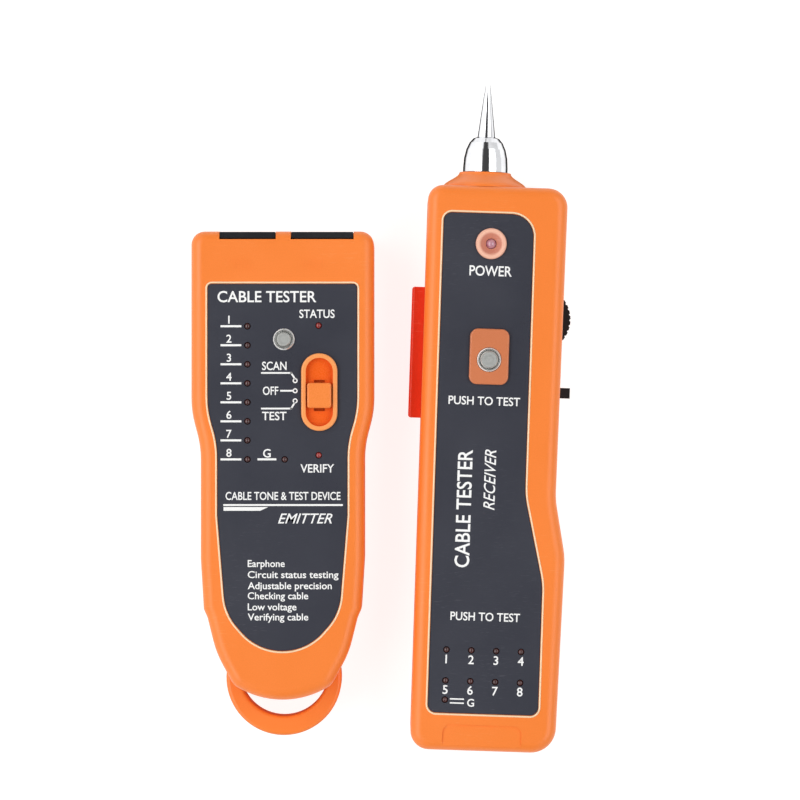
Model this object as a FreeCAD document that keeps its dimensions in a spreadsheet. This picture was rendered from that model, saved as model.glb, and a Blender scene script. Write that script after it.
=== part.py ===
import FreeCAD, Part
import math
import os
import Sketcher
from types import SimpleNamespace

# Tone probe kit: an emitter and a receiver, lying on their backs side by side.
# +Z is out of their faces, +Y runs towards the sockets and the probe tip, +X to the right.
# Each device is built about its own middle, with Z = 0 on its back, and placed at the end.

SIZES = [
    # (name, millimetres, what it is)
    ("receiver_across", 60.5, "receiver's middle from the emitter's, along X"),
    ("receiver_along", 4.35, "receiver's middle from the emitter's, along Y"),
    ("receiver_lean", 1.9, "degrees that the receiver's tip leans to the right"),
    ("case_depth", 30, "both cases, back to face"),
    ("split_height", 15, "parting plane of the shells above the back"),
    ("wall", 2, "thickness of every case wall"),
    ("front_round", 3.2, "rounding of the front rim"),
    ("back_round", 2, "rounding of the back rim"),
    ("seam_round", 0.3, "rounding of both shells at their parting line"),
    ("gap", 0.2, "clearance round pieces that drop in"),
    ("slide_gap", 0.12, "clearance round pieces that slide"),
    ("label_recess", 0.8, "depth of the label's recess"),
    ("label_thick", 0.6, "face label"),
    ("label_gap", 0.15, "label inside its recess"),
    ("board_thick", 1.6, "circuit boards"),
    ("boss_radius", 2.8, "posts that take screws"),
    ("screw_radius", 1.2, "shank of the case screws"),
    ("screw_head", 2.3, "head radius of the case screws"),
    ("screw_head_tall", 1.6, "head height of the case screws"),
    ("screw_gap", 0.08, "radial clearance round a shank"),
    ("screw_seat", 4, "case screw's head seat above the back"),
    ("screw_bite", 8, "case screw's length in the front shell"),
    ("board_screw_radius", 0.95, "shank of the board screws"),
    ("board_screw_head", 1.9, "head radius of the board screws"),
    ("board_screw_tall", 1.3, "head height of the board screws"),
    ("board_screw_bite", 5, "board screw's length in its post"),
    ("lamp_radius", 0.9, "small lamps"),
    ("lamp_gap", 0.1, "clearance round the small lamps"),
    ("lamp_proud", 0.35, "lamp's dome above the label"),
    ("lamp_tall", 5.6, "lamp's body below its dome"),
    ("battery_wide", 26.5, "9 V block battery"),
    ("battery_long", 48.5, "9 V block battery"),
    ("battery_thick", 17.5, "9 V block battery"),
    ("battery_lift", 0.4, "battery above the inside of the back wall"),
    ("stud_pitch", 12.7, "between the battery's two studs"),
    ("stud_tall", 2.6, "battery's studs"),
    ("snap_thick", 4.4, "battery snap"),
    ("rib_thick", 1.2, "rib that holds the battery's stud end"),
    ("door_skin", 1, "door's outer plate, and the ledge beside it"),
    ("door_lip", 1.5, "door's lip past each side of its plate"),
    ("jack_high", 13, "body of every network or phone socket"),
    ("jack_deep", 17.6, "socket's body, mouth to back"),
    ("jack_wall", 2.9, "socket's floor under the plug"),
    ("plug_high", 6.7, "room for a plug, below its latch"),
    ("plug_deep", 14, "room for a plug, along its length"),
    ("latch_high", 2.3, "room for a plug's latch"),
    ("network_plug", 11.9, "room for a network plug, across"),
    ("network_latch", 6.5, "network latch's slot"),
    ("network_wide", 16.4, "network socket's body, across"),
    ("phone_plug", 9.8, "room for a phone plug, across"),
    ("phone_latch", 6, "phone latch's slot"),
    ("phone_wide", 15, "phone socket's body, across"),
    ("contact_pitch", 1.02, "spring contacts"),
    ("contact_wide", 0.4, "spring contacts"),
    ("press", 0.5, "travel of the round push buttons"),
    ("switch_body", 6, "push switch, square"),
    ("switch_tall", 3.1, "push switch's body"),
    ("plunger", 0.5, "push switch's plunger"),
    ("button_collar", 0.8, "collar that keeps a round button in"),
    ("button_bevel", 0.35, "bevels of the round buttons and their rings"),
    ("surround_round", 0.5, "rounding of the surrounds' rims"),
    # emitter
    ("em_top", 75.6, "socket end"),
    ("em_half_top", 27.2, "half width of the head"),
    ("em_corner_round", 4, "corners beside the sockets"),
    ("em_shoulder_high", 22, "where the head starts to narrow"),
    ("em_shoulder_low", 11.5, "where the waist starts"),
    ("em_half_waist", 24.4, "half width of the waist"),
    ("em_side_round", 30, "bends of the sides"),
    ("em_grip_high", -22, "waist's lower end"),
    ("em_grip_step", -37, "step in the sides"),
    ("em_half_grip", 23.5, "half width above the step"),
    ("em_half_step", 22.4, "half width below the step"),
    ("em_foot_high", -50, "where the foot turns in"),
    ("em_half_foot", 17.8, "half width there, inside the wall"),
    ("em_cheek", 0.8, "where the chin starts, below the battery and inside the wall"),
    ("em_half_cheek", 12.5, "half width there, inside the wall"),
    ("em_cheek_round", 5, "cheek's bend"),
    ("em_chin", 8.5, "where the chin's two tangents meet, below the battery"),
    ("em_chin_round", 26.3, "chin's arc"),
    ("em_label_top", 60, "face label"),
    ("em_label_half_top", 22.3, "half width of the label's head"),
    ("em_label_half_waist", 19.4, "half width of the label's waist"),
    ("em_label_taper", -9, "where the label starts to narrow"),
    ("em_label_half_foot", 17, "half width of the label's foot"),
    ("em_label_foot", -38.4, "where the foot turns in"),
    ("em_label_half_toe", 7.2, "half width of the label's lower end"),
    ("em_label_bottom", -49.4, "label's lower end"),
    ("em_label_round", 16.8, "bends of the label's foot"),
    ("em_label_corner", 1.2, "label's upper corners"),
    ("em_board", 13, "board's back above the case's back"),
    ("em_board_half", 17, "half width of the board beside the posts"),
    ("em_board_head", 51, "where the board widens under the sockets"),
    ("em_board_head_half", 23, "half width of the board under the sockets"),
    ("em_board_top", 73, "board's upper end"),
    ("em_board_bottom", -2, "board's lower end"),
    ("em_phone", -10.4, "phone socket's middle, across"),
    ("em_phone_notch", 16.8, "phone socket's notch in the face"),
    ("em_network", 11.85, "network socket's middle, across"),
    ("em_network_notch", 18.7, "network socket's notch in the face"),
    ("em_notch_deep", 2.4, "notches, along Y"),
    ("em_lamps", -10.4, "column of eight lamps"),
    ("em_lamps_top", 47.3, "first of the eight lamps"),
    ("em_lamp_pitch", 5.66, "between the eight lamps"),
    ("em_ground_lamp", 0.7, "G lamp, across"),
    ("em_signal_lamps", 10.8, "status and verify lamps, across"),
    ("em_status_lamp", 47.5, "status lamp, along"),
    ("em_verify_lamp", 8.9, "verify lamp, along"),
    ("em_button_across", 0.45, "round push button"),
    ("em_button_along", 43.4, "round push button"),
    ("em_button_radius", 2.15, "round push button"),
    ("em_button_ring", 3.2, "its ring"),
    ("em_mode_across", 11, "mode switch"),
    ("em_mode_along", 27.7, "its surround's middle"),
    ("em_mode_wide", 10.8, "surround, across"),
    ("em_mode_long", 23.1, "surround, along"),
    ("em_mode_rim", 1.35, "surround's rim"),
    ("em_mode_proud", 1.2, "surround above the label"),
    ("em_mode_sunk", 1.9, "surround's floor below its rim"),
    ("em_knob_wide", 7.2, "mode knob, across"),
    ("em_knob_long", 7.5, "mode knob, along"),
    ("em_knob_tall", 2.9, "mode knob above the surround's floor"),
    ("em_knob_shift", 1, "knob's middle below the surround's middle"),
    ("em_knob_stem", 3, "knob's stem, square"),
    ("em_knob_travel", 3, "one step of the mode switch"),
    ("em_mode_body_tall", 6.4, "mode switch on the board"),
    ("em_shutter_wide", 5.4, "plate on the stem that closes the slot, across"),
    ("em_shutter_thick", 0.6, "plate on the stem that closes the slot"),
    ("em_shutter_past", 0.4, "plate past the slot's ends at the ends of its travel"),
    ("em_battery_end", -8.5, "battery's stud end"),
    ("em_door_head", -4.6, "door's upper end"),
    ("em_bottom_screws", -30, "lower case screws"),
    ("em_top_screws", 44.5, "upper case screws"),
    ("em_loop_middle", -58.4, "lanyard loop's outer arc"),
    ("em_loop_radius", 17.4, "lanyard loop's outer arc"),
    ("em_eye_middle", -56.7, "lanyard loop's inner arc"),
    ("em_eye_radius", 13.3, "lanyard loop's inner arc"),
    ("em_loop_low", 4, "loop above the back"),
    ("em_loop_high", 13.5, "loop's front face"),
    ("em_loop_round", 1.1, "loop's edges"),
    # receiver
    ("rc_top", 84.7, "shoulders under the nose"),
    ("rc_bottom", -83.7, "socket end"),
    ("rc_left", -19.8, "left side"),
    ("rc_right_top", 21.9, "right side at the top"),
    ("rc_right_waist", 21.2, "right side at the waist"),
    ("rc_waist_low", -8, "where the right side swells"),
    ("rc_bulge_high", -25, "where it has swollen"),
    ("rc_right_bulge", 24.5, "right side at its widest"),
    ("rc_right_foot", 23.4, "right side at the bottom"),
    ("rc_top_left_round", 4.5, "corner"),
    ("rc_top_right_round", 5.8, "corner"),
    ("rc_bottom_left_round", 5.5, "corner"),
    ("rc_bottom_right_round", 7.5, "corner"),
    ("rc_side_round", 24, "bends of the right side"),
    ("rc_label_left", -15, "face label"),
    ("rc_label_top", 76.6, "face label"),
    ("rc_label_right", 12, "face label's upper right side"),
    ("rc_label_swell_high", -7, "where it widens"),
    ("rc_label_swell_low", -33, "where it is wide"),
    ("rc_label_right_low", 18, "face label's lower right side"),
    ("rc_label_bottom", -72.5, "face label"),
    ("rc_label_corner", 2.4, "label's small corners"),
    ("rc_label_corner_large", 6.6, "label's upper right corner"),
    ("rc_probe_across", -2.8, "probe's axis"),
    ("rc_nose_foot", 12.6, "nose collar's radius at the shoulders"),
    ("rc_nose_tip", 7.7, "nose collar's radius at the probe"),
    ("rc_nose_tall", 4.6, "nose collar"),
    ("rc_nose_inside", 9, "nose block inside the case"),
    ("rc_bush_radius", 4.4, "probe's insulating bush"),
    ("rc_bush_inside", 2, "bush past the nose block"),
    ("rc_stud_radius", 2.4, "probe's threaded stud"),
    ("rc_probe_radius", 6.7, "probe's base"),
    ("rc_probe_rim", 1.4, "straight rim of the probe's base"),
    ("rc_ogive_tall", 10.6, "probe's domed base"),
    ("rc_ogive_radius", 2.65, "probe where the needle starts"),
    ("rc_needle_tall", 12, "probe's tapering needle"),
    ("rc_needle_radius", 1.2, "needle's upper end"),
    ("rc_point_tall", 4, "needle's point"),
    ("rc_point_radius", 0.6, "needle's blunt end"),
    ("rc_board_room", 5.8, "from the board's front to the inside of the face"),
    ("rc_board_left", -16.6, "board's left edge"),
    ("rc_board_right", 18.4, "board's right edge"),
    ("rc_board_top", 70, "board's upper end"),
    ("rc_board_step", -70.6, "board's shoulders between the lower posts"),
    ("rc_board_bottom", -81, "board's lower end"),
    ("rc_network", 1.45, "network socket's middle, across"),
    ("rc_tray", 2, "tray over the door's track"),
    ("rc_low_posts", -74.6, "lower case screws, along"),
    ("rc_low_post_gap", 0.7, "lower posts beside the socket"),
    ("rc_lamp_left", -9.9, "first column of lamps"),
    ("rc_lamp_across", 7.4, "between the lamps' columns"),
    ("rc_lamp_row", -53.6, "first row of lamps"),
    ("rc_lamp_along", 9.2, "between the lamps' rows"),
    ("rc_ground_lamp", -68.5, "G lamp, along"),
    ("rc_power_across", -0.6, "power lamp"),
    ("rc_power_along", 67.5, "power lamp"),
    ("rc_power_ring", 4.6, "its dished surround"),
    ("rc_power_proud", 1, "surround above the label"),
    ("rc_power_dish", 3.6, "dish's mouth"),
    ("rc_power_sleeve", 3.2, "surround's sleeve through the face"),
    ("rc_power_lamp", 1.5, "power lamp's radius"),
    ("rc_test_across", -0.1, "test button's surround"),
    ("rc_test_along", 33.9, "test button's surround"),
    ("rc_test_wide", 11.7, "surround, across"),
    ("rc_test_long", 16.6, "surround, along"),
    ("rc_test_round", 2.4, "surround's corners"),
    ("rc_test_proud", 1.1, "surround above the label"),
    ("rc_test_low", 0.9, "button's middle below the surround's middle"),
    ("rc_button_radius", 2.65, "test button"),
    ("rc_button_ring", 3.6, "its silver ring"),
    ("rc_side_low", 15, "long side button, along"),
    ("rc_side_high", 54.3, "long side button, along"),
    ("rc_side_back", 8.5, "its lower side above the case's back"),
    ("rc_side_front", 19.5, "its upper side above the case's back"),
    ("rc_side_proud", 3.8, "it stands out of the case"),
    ("rc_side_travel", 1.2, "its travel"),
    ("rc_side_flange", 1.2, "thickness of its inner flange"),
    ("rc_side_lip", 1, "flange past the button all round"),
    ("rc_wheel_across", 14.5, "thumbwheel's axis"),
    ("rc_wheel_along", 45.8, "thumbwheel's axis"),
    ("rc_wheel_radius", 9.8, "thumbwheel"),
    ("rc_wheel_low", 13.5, "its back face"),
    ("rc_wheel_thick", 3, "thumbwheel"),
    ("rc_wheel_hub", 2, "its stub shaft's radius"),
    ("rc_wheel_teeth", 36, "grooves round its edge"),
    ("rc_wheel_groove", 0.32, "groove's radius"),
    ("rc_light_along", 23.8, "slide switch for the lamp, rest place"),
    ("rc_light_wide", 3.15, "its knob, along"),
    ("rc_light_tall", 3.2, "its knob, back to front"),
    ("rc_light_low", 13.6, "its knob above the case's back"),
    ("rc_light_proud", 3.6, "its knob out of the case"),
    ("rc_light_travel", 2, "its travel"),
    ("rc_ear_along", 4, "earphone socket"),
    ("rc_ear_height", 16.4, "earphone socket above the back"),
    ("rc_ear_bore", 1.8, "bore for a 3.5 mm plug"),
    ("rc_ear_nose", 3, "its threaded nose"),
    ("rc_ear_deep", 13, "bore's depth"),
    ("rc_battery_middle", 1, "battery's middle, across"),
    ("rc_battery_end", -12.5, "battery's stud end"),
    ("rc_door_head", -8.6, "door's upper end"),
    ("rc_speaker_across", -1, "loudspeaker"),
    ("rc_speaker_along", 12, "loudspeaker"),
    ("rc_speaker_radius", 12, "loudspeaker"),
    ("rc_speaker_thick", 4.4, "loudspeaker"),
    ("rc_grille_radius", 0.9, "one hole of the grille"),
    ("rc_grille_pitch", 3.4, "between the grille's holes"),
    ("rc_panel_left", -10.3, "shallow panel over the socket"),
    ("rc_panel_right", 13.2, "shallow panel over the socket"),
    ("rc_panel_top", -75.8, "shallow panel over the socket"),
    ("rc_panel_deep", 0.35, "shallow panel over the socket"),
]

doc = FreeCAD.newDocument("tone_probe_kit")
sheet = doc.addObject("Spreadsheet::Sheet", "sizes")
for row, (name, value, note) in enumerate(SIZES, 1):
    sheet.set(f"A{row}", name)
    sheet.set(f"B{row}", str(value))
    sheet.set(f"C{row}", note)
    sheet.setAlias(f"B{row}", name)
doc.recompute()

# ---- numbers that know their formula ------------------------------------------------


class Size(float):
    """A length in millimetres that remembers the sheet formula it comes from."""

    def __new__(cls, value, text):
        size = super().__new__(cls, value)
        size.text = text
        return size

    def __add__(self, other):
        return Size(float(self) + other, f"({self.text} + {formula(other)})")

    def __radd__(self, other):
        return Size(other + float(self), f"({formula(other)} + {self.text})")

    def __sub__(self, other):
        return Size(float(self) - other, f"({self.text} - {formula(other)})")

    def __rsub__(self, other):
        return Size(other - float(self), f"({formula(other)} - {self.text})")

    def __mul__(self, other):
        return Size(float(self) * other, f"({self.text} * {formula(other)})")

    __rmul__ = __mul__

    def __truediv__(self, other):
        return Size(float(self) / other, f"({self.text} / {formula(other)})")

    def __neg__(self):
        return Size(-float(self), f"(-1 * {self.text})")


def formula(amount):
    return amount.text if isinstance(amount, Size) else repr(float(amount))


def bind(item, property_path, amount):
    item.setExpression(property_path, formula(amount))


s = SimpleNamespace(**{
    name: Size(sheet.get(name), f"sizes.{name}") for name, value, note in SIZES
})
FACE = s.case_depth
FACE_INSIDE = s.case_depth - s.wall
LABEL_LOW = s.case_depth - s.label_recess
LABEL_TOP = LABEL_LOW + s.label_thick
OVER = 1  # how far a cutting tool reaches past what it cuts

# ---- shapes -------------------------------------------------------------------------

ALONG = {
    "+x": FreeCAD.Vector(1, 0, 0),
    "+y": FreeCAD.Vector(0, 1, 0),
    "-y": FreeCAD.Vector(0, -1, 0),
    "+z": FreeCAD.Vector(0, 0, 1),
    "-z": FreeCAD.Vector(0, 0, -1),
}


def put(item, at, along="+z"):
    item.Placement.Rotation = FreeCAD.Rotation(ALONG["+z"], ALONG[along])
    for axis, amount in zip("xyz", at):
        bind(item, f"Placement.Base.{axis}", amount)
    return item


def box(low, high):
    """A block between two opposite corners."""
    item = doc.addObject("Part::Box", "Block")
    for side, a, b in zip(("Length", "Width", "Height"), low, high):
        bind(item, side, b - a)
    return put(item, low)


def rod(at, radius, length, along="+z"):
    item = doc.addObject("Part::Cylinder", "Rod")
    bind(item, "Radius", radius)
    bind(item, "Height", length)
    return put(item, at, along)


def taper(at, foot, tip, length, along="+z"):
    item = doc.addObject("Part::Cone", "Taper")
    bind(item, "Radius1", foot)
    bind(item, "Radius2", tip)
    bind(item, "Height", length)
    return put(item, at, along)


def ball(at, radius):
    item = doc.addObject("Part::Sphere", "Ball")
    bind(item, "Radius", radius)
    return put(item, at)


def capsule(middle, wide, long, low, high):
    """A round-ended block that is long in Y."""
    x, y = middle
    straight = (long - wide) / 2
    return fuse(
        box((x - wide / 2, y - straight, low), (x + wide / 2, y + straight, high)),
        rod((x, y - straight, low), wide / 2, high - low),
        rod((x, y + straight, low), wide / 2, high - low),
    )


def fuse(*items):
    item = doc.addObject("Part::MultiFuse", "Joined")
    item.Shapes = list(items)
    return item


def cut(base, *tools):
    item = doc.addObject("Part::Cut", "Cut")
    item.Base = base
    item.Tool = tools[0] if len(tools) == 1 else fuse(*tools)
    return item


def common(a, b):
    item = doc.addObject("Part::Common", "Shared")
    item.Base = a
    item.Tool = b
    return item


def group(items):
    item = doc.addObject("Part::Compound", "Group")
    item.Links = list(items)
    return item


def new_sketch(body, height):
    """A sketch on the body's own XY plane, lifted to this height."""
    sketch = body.newObject("Sketcher::SketchObject", "Outline")
    plane = next(f for f in body.Origin.OriginFeatures if f.Role == "XY_Plane")
    sketch.AttachmentSupport = [(plane, "")]
    sketch.MapMode = "FlatFace"
    bind(sketch, "AttachmentOffset.Base.z", height)
    return sketch


def pin(sketch, curve, point, x, y):
    """Ties one point of a curve to its place in the sheet."""
    for direction, amount in (("DistanceX", x), ("DistanceY", y)):
        index = sketch.addConstraint(
            Sketcher.Constraint(direction, -1, 1, curve, point, float(amount))
        )
        bind(sketch, f"Constraints[{index}]", amount)


def pad_up(body, sketch, height):
    pad = body.newObject("PartDesign::Pad", "Pad")
    pad.Profile = sketch
    bind(pad, "Length", height)
    doc.recompute()


def prism(corners, low, high):
    """A PartDesign body padded from a polygon; each corner is (x, y, rounding or None)."""
    body = doc.addObject("PartDesign::Body", "Body")
    sketch = new_sketch(body, low)
    count = len(corners)
    for i in range(count):
        here, there = corners[i], corners[(i + 1) % count]
        sketch.addGeometry(Part.LineSegment(
            FreeCAD.Vector(here[0], here[1], 0), FreeCAD.Vector(there[0], there[1], 0)
        ))
    for i, (x, y, rounding) in enumerate(corners):
        sketch.addConstraint(Sketcher.Constraint("Coincident", (i - 1) % count, 2, i, 1))
        pin(sketch, i, 1, x, y)
    pad_up(body, sketch, high - low)
    room = rooms(corners)
    for rounding in dict.fromkeys(c[2] for c in corners if c[2] is not None):
        spots = [(float(x), float(y)) for x, y, r in corners if r is rounding]
        share = min(share for share, corner in zip(room, corners) if corner[2] is rounding)
        radius = rounding if share == 1 else rounding * share
        round_edges(body, radius, lambda edge: stands_at(edge, spots))
    return body


def rooms(corners):
    """For each corner, the share of its rounding that its two sides have room for."""
    count = len(corners)
    spots = [FreeCAD.Vector(x, y, 0) for x, y, rounding in corners]
    shares, uses = [1] * count, []
    for i, (x, y, rounding) in enumerate(corners):
        turn = (spots[i] - spots[i - 1]).getAngle(spots[(i + 1) % count] - spots[i])
        uses.append(float(rounding or 0) * math.tan(turn / 2))
    for i in range(count):
        after = (i + 1) % count
        side, used = (spots[after] - spots[i]).Length * 0.99, uses[i] + uses[after]
        if used > side:
            shares[i], shares[after] = min(shares[i], side / used), min(shares[after], side / used)
    return shares


def stands_at(edge, spots):
    """Whether an edge stands along Z at one of these places in plan."""
    ends = [(v.X, v.Y) for v in edge.Vertexes]
    return len(ends) == 2 and any(
        math.dist(ends[0], spot) < 1e-4 and math.dist(ends[1], spot) < 1e-4 for spot in spots
    )


def lies_at(edge, height):
    """Whether an edge lies flat at this height."""
    box = edge.BoundBox
    return abs(box.ZMin - height) < 1e-4 and abs(box.ZMax - height) < 1e-4


def round_edges(body, radius, wanted):
    solid = body.Tip
    names = [f"Edge{i}" for i, e in enumerate(solid.Shape.Edges, 1) if wanted(e)]
    if not names:
        raise RuntimeError(f"no edge to round in {body.Name}")
    fillet = body.newObject("PartDesign::Fillet", "Round")
    fillet.Base = (solid, names)
    bind(fillet, "Radius", radius)
    doc.recompute()


def mirrored(right):
    """The whole outline of a shape that is the same on both sides of X = 0."""
    left = [(-x, y, r) for x, y, r in reversed(right) if float(x) > 0]
    return right + left


def plate(low, high, bottom, top, rounding=None):
    """A rectangular prism with its four uprights rounded."""
    return prism([
        (low[0], high[1], rounding),
        (high[0], high[1], rounding),
        (high[0], low[1], rounding),
        (low[0], low[1], rounding),
    ], bottom, top)


# ---- pieces that both devices have --------------------------------------------------

kept = {"emitter": {}, "receiver": {}}
PRIMITIVES = ("Part::Box", "Part::Cylinder", "Part::Cone", "Part::Sphere")


def keep(device, name, item):
    """Makes item the sub-part that is called DEVICE_NAME."""
    if item.TypeId in PRIMITIVES:
        item = group([item])
    item.Label = f"{device}_{name}"
    kept[device][name] = item
    return item


def crossed(x, y, high, radius, along):
    """A cross recess for a screw's head whose top is at this height."""
    arm = radius * 0.65
    slot = radius * 0.14
    deep = 0.7 if along == "+z" else -0.7
    low, top = sorted((high, high - deep), key=float)
    return (
        box((x - arm, y - slot, low), (x + arm, y + slot, top)),
        box((x - slot, y - arm, low), (x + slot, y + arm, top)),
    )


def screw(x, y, seat, shank, head, tall, length, along):
    """A screw whose shank runs from its seat the way that along says."""
    top = seat + tall if along == "-z" else seat - tall
    back = "+z" if along == "-z" else "-z"
    whole = fuse(rod((x, y, seat), head, tall, back), rod((x, y, seat), shank, length, along))
    return cut(whole, *crossed(x, y, top, head, back))


def lamp(x, y, board_top, radius, proud):
    """A lamp: dome, body, rim and two legs down to the board."""
    top = LABEL_TOP + proud - radius
    low = top - s.lamp_tall
    leg = 0.25
    return fuse(
        ball((x, y, top), radius),
        rod((x, y, low), radius, s.lamp_tall),
        rod((x, y, low), radius + 0.25, 0.8),
        box((x - 0.6 - leg, y - leg, board_top), (x - 0.6 + leg, y + leg, low + 0.4)),
        box((x + 0.6 - leg, y - leg, board_top), (x + 0.6 + leg, y + leg, low + 0.4)),
    )


def lamp_holes(spots, radius):
    return [rod((x, y, FACE_INSIDE - OVER), radius + s.lamp_gap, s.wall + 2 * OVER) for x, y in spots]


def push_button(device, name, x, y, radius, ring, rest_on, ring_top, board_top):
    """A round button in its ring, over a push switch. Gives the hole that the sleeve needs."""
    sleeve = radius + s.slide_gap + 0.55
    sleeve_low = FACE_INSIDE - 0.5
    bore = radius + s.slide_gap
    bevel = s.button_bevel
    keep(device, f"{name}_ring", cut(
        fuse(
            rod((x, y, rest_on), ring, ring_top - bevel - rest_on),
            taper((x, y, ring_top - bevel), ring, ring - bevel, bevel),
            rod((x, y, sleeve_low), sleeve, ring_top - bevel - sleeve_low),
        ),
        rod((x, y, sleeve_low - OVER), bore, ring_top - sleeve_low + 2 * OVER),
        taper((x, y, ring_top - bevel), bore, bore + bevel, bevel),
    ))
    switch_top = board_top + s.switch_tall + s.plunger
    stem_low = switch_top + s.press + 0.1
    collar_top = sleeve_low - s.gap
    button_top = ring_top + 0.5
    keep(device, name, fuse(
        rod((x, y, stem_low), 1.5, collar_top - stem_low),
        rod((x, y, collar_top - s.button_collar), sleeve, s.button_collar),
        rod((x, y, collar_top), radius, button_top - bevel - collar_top),
        taper((x, y, button_top - bevel), radius, radius - bevel, bevel),
    ))
    half = s.switch_body / 2
    keep(device, f"{name}_switch", fuse(
        box((x - half, y - half, board_top), (x + half, y + half, board_top + s.switch_tall)),
        rod((x, y, board_top), 1.7, s.switch_tall + s.plunger),
    ))
    return sleeve + s.gap / 2


def battery(device, middle, end, low):
    """A 9 V block, studs towards +Y, and the snap on its studs."""
    half = s.battery_wide / 2
    block = plate(
        (middle - half, end - s.battery_long), (middle + half, end), low, low + s.battery_thick
    )
    solid = block.Tip.Shape
    long_edges = [e for e in solid.Edges if abs(e.Length - float(s.battery_long)) < 1e-4]
    spots = [e.CenterOfMass for e in long_edges]
    round_edges(block, 2, lambda e: any(e.CenterOfMass.isEqual(p, 1e-4) for p in spots))
    high = low + s.battery_thick / 2
    studs = ((-s.stud_pitch / 2, 2.9), (s.stud_pitch / 2, 3.9))
    keep(device, "battery", fuse(
        block, *(rod((middle + x, end, high), r, s.stud_tall, "+y") for x, r in studs)
    ))
    start = end + s.gap
    plain = box(
        (middle - half + 1, start, high - 6.5), (middle + half - 1, start + s.snap_thick, high + 6.5)
    )
    sockets = [
        rod((middle + x, start - OVER, high), r + s.gap, s.stud_tall + OVER, "+y") for x, r in studs
    ]
    keep(device, "battery_snap", cut(plain, *sockets))


def door(device, middle, head, case):
    """The sliding battery door, cut to the case's own outline. Gives the track's cutters."""
    half = s.battery_wide / 2 + 0.55
    end = -120
    skin = box((middle - half, end, -OVER), (middle + half, head, s.door_skin + s.slide_gap))
    lip = half + s.door_lip
    inner = box(
        (middle - lip, end, s.door_skin + s.slide_gap), (middle + lip, head, s.wall - s.slide_gap)
    )
    grips = [
        box((middle - 7, head - 8 - 2 * i, -OVER), (middle + 7, head - 7.2 - 2 * i, 0.35))
        for i in range(6)
    ]
    keep(device, "battery_door", cut(common(case, fuse(skin, inner)), *grips))
    gap = s.slide_gap
    return (
        box((middle - half - gap, end, -OVER), (middle + half + gap, head + gap, s.wall)),
        box((middle - lip - gap, end, s.door_skin), (middle + lip + gap, head + gap, s.wall)),
    )


def jack(device, name, x, mouth, board, up, wide, plug, latch, ways, notch=None):
    """A modular socket with its mouth at Y = mouth, and its spring contacts.

    up is 1 where it stands on the board's front and -1 where it hangs under the board.
    inward points from the mouth into the case."""
    inward = -1 if float(mouth) > 0 else 1
    levels = {
        "board": board,
        "floor": board + up * s.jack_wall,
        "roof": board + up * (s.jack_wall + s.plug_high),
        "latch": board + up * (s.jack_wall + s.plug_high + s.latch_high),
        "top": board + up * s.jack_high,
    }

    def block(half, near, deep, a, b):
        ys = sorted((mouth + inward * near, mouth + inward * deep), key=float)
        zs = sorted((levels[a], levels[b]), key=float)
        return box((x - half, ys[0], zs[0]), (x + half, ys[1], zs[1]))

    shell = block(wide / 2, s.gap, s.jack_deep, "board", "top")
    if notch is not None:
        flange = box(
            (x - notch / 2 + s.gap, mouth - s.em_notch_deep + 2 * s.gap, s.split_height + s.gap),
            (x + notch / 2 - s.gap, mouth - s.gap, LABEL_LOW),
        )
        shell = fuse(shell, flange)
    keep(device, f"{name}_socket", cut(
        shell,
        block(plug / 2, -OVER, s.plug_deep, "floor", "roof"),
        block(latch / 2, -OVER, s.plug_deep, "floor", "latch"),
    ))
    half = s.contact_wide / 2
    contacts = []
    for i in range(ways):
        across = x + s.contact_pitch * (i - (ways - 1) / 2)
        ys = sorted((mouth + inward * 2.5, mouth + inward * (s.plug_deep - 0.5)), key=float)
        zs = sorted((levels["floor"], levels["floor"] + up * 0.7), key=float)
        contacts.append(box((across - half, ys[0], zs[0]), (across + half, ys[1], zs[1])))
    keep(device, f"{name}_contacts", group(contacts))


def eye(outer_middle, outer_radius, inner_middle, inner_radius, low, high, rounding):
    """A flat ring with rounded edges; its hole's middle is off the ring's middle in Y."""
    body = doc.addObject("PartDesign::Body", "Ring")
    sketch = new_sketch(body, low)
    for i, (middle, radius) in enumerate(
        ((outer_middle, outer_radius), (inner_middle, inner_radius))
    ):
        sketch.addGeometry(Part.Circle(FreeCAD.Vector(0, middle, 0), ALONG["+z"], float(radius)))
        pin(sketch, i, 3, 0, middle)
        size = sketch.addConstraint(Sketcher.Constraint("Radius", i, float(radius)))
        bind(sketch, f"Constraints[{size}]", radius)
    pad_up(body, sketch, high - low)
    round_edges(body, rounding, lambda e: lies_at(e, float(low)) or lies_at(e, float(high)))
    return body


# ---- emitter ------------------------------------------------------------------------


def emitter_outline(inset):
    """The case in plan, or its cavity where inset is the wall."""
    top, corner = s.em_top - inset, s.em_corner_round - inset
    battery_foot, past = s.em_battery_end - s.battery_long, s.wall - inset
    return mirrored([
        (s.em_half_top - inset, top, corner),
        (s.em_half_top - inset, s.em_shoulder_high, s.em_side_round),
        (s.em_half_waist - inset, s.em_shoulder_low, s.em_side_round),
        (s.em_half_waist - inset, s.em_grip_high, None),
        (s.em_half_grip - inset, s.em_grip_step, None),
        (s.em_half_step - inset, s.em_grip_step - 2.5, None),
        (s.em_half_foot + past, s.em_foot_high, s.em_side_round),
        (s.em_half_cheek + past, battery_foot - s.em_cheek - s.wall + inset * 0.5, s.em_cheek_round),
        (0, battery_foot - s.em_chin - past, s.em_chin_round - inset * 2),
    ])


def emitter_label_outline(inset):
    return mirrored([
        (s.em_label_half_top - inset, s.em_label_top - inset, s.em_label_corner),
        (s.em_label_half_top - inset, s.em_shoulder_high, s.em_side_round),
        (s.em_label_half_waist - inset, s.em_shoulder_low + 1, s.em_side_round),
        (s.em_label_half_waist - inset, s.em_label_taper, None),
        (s.em_label_half_foot - inset, s.em_label_foot, s.em_label_round),
        (s.em_label_half_toe, s.em_label_bottom + inset, s.em_label_round),
    ])


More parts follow.
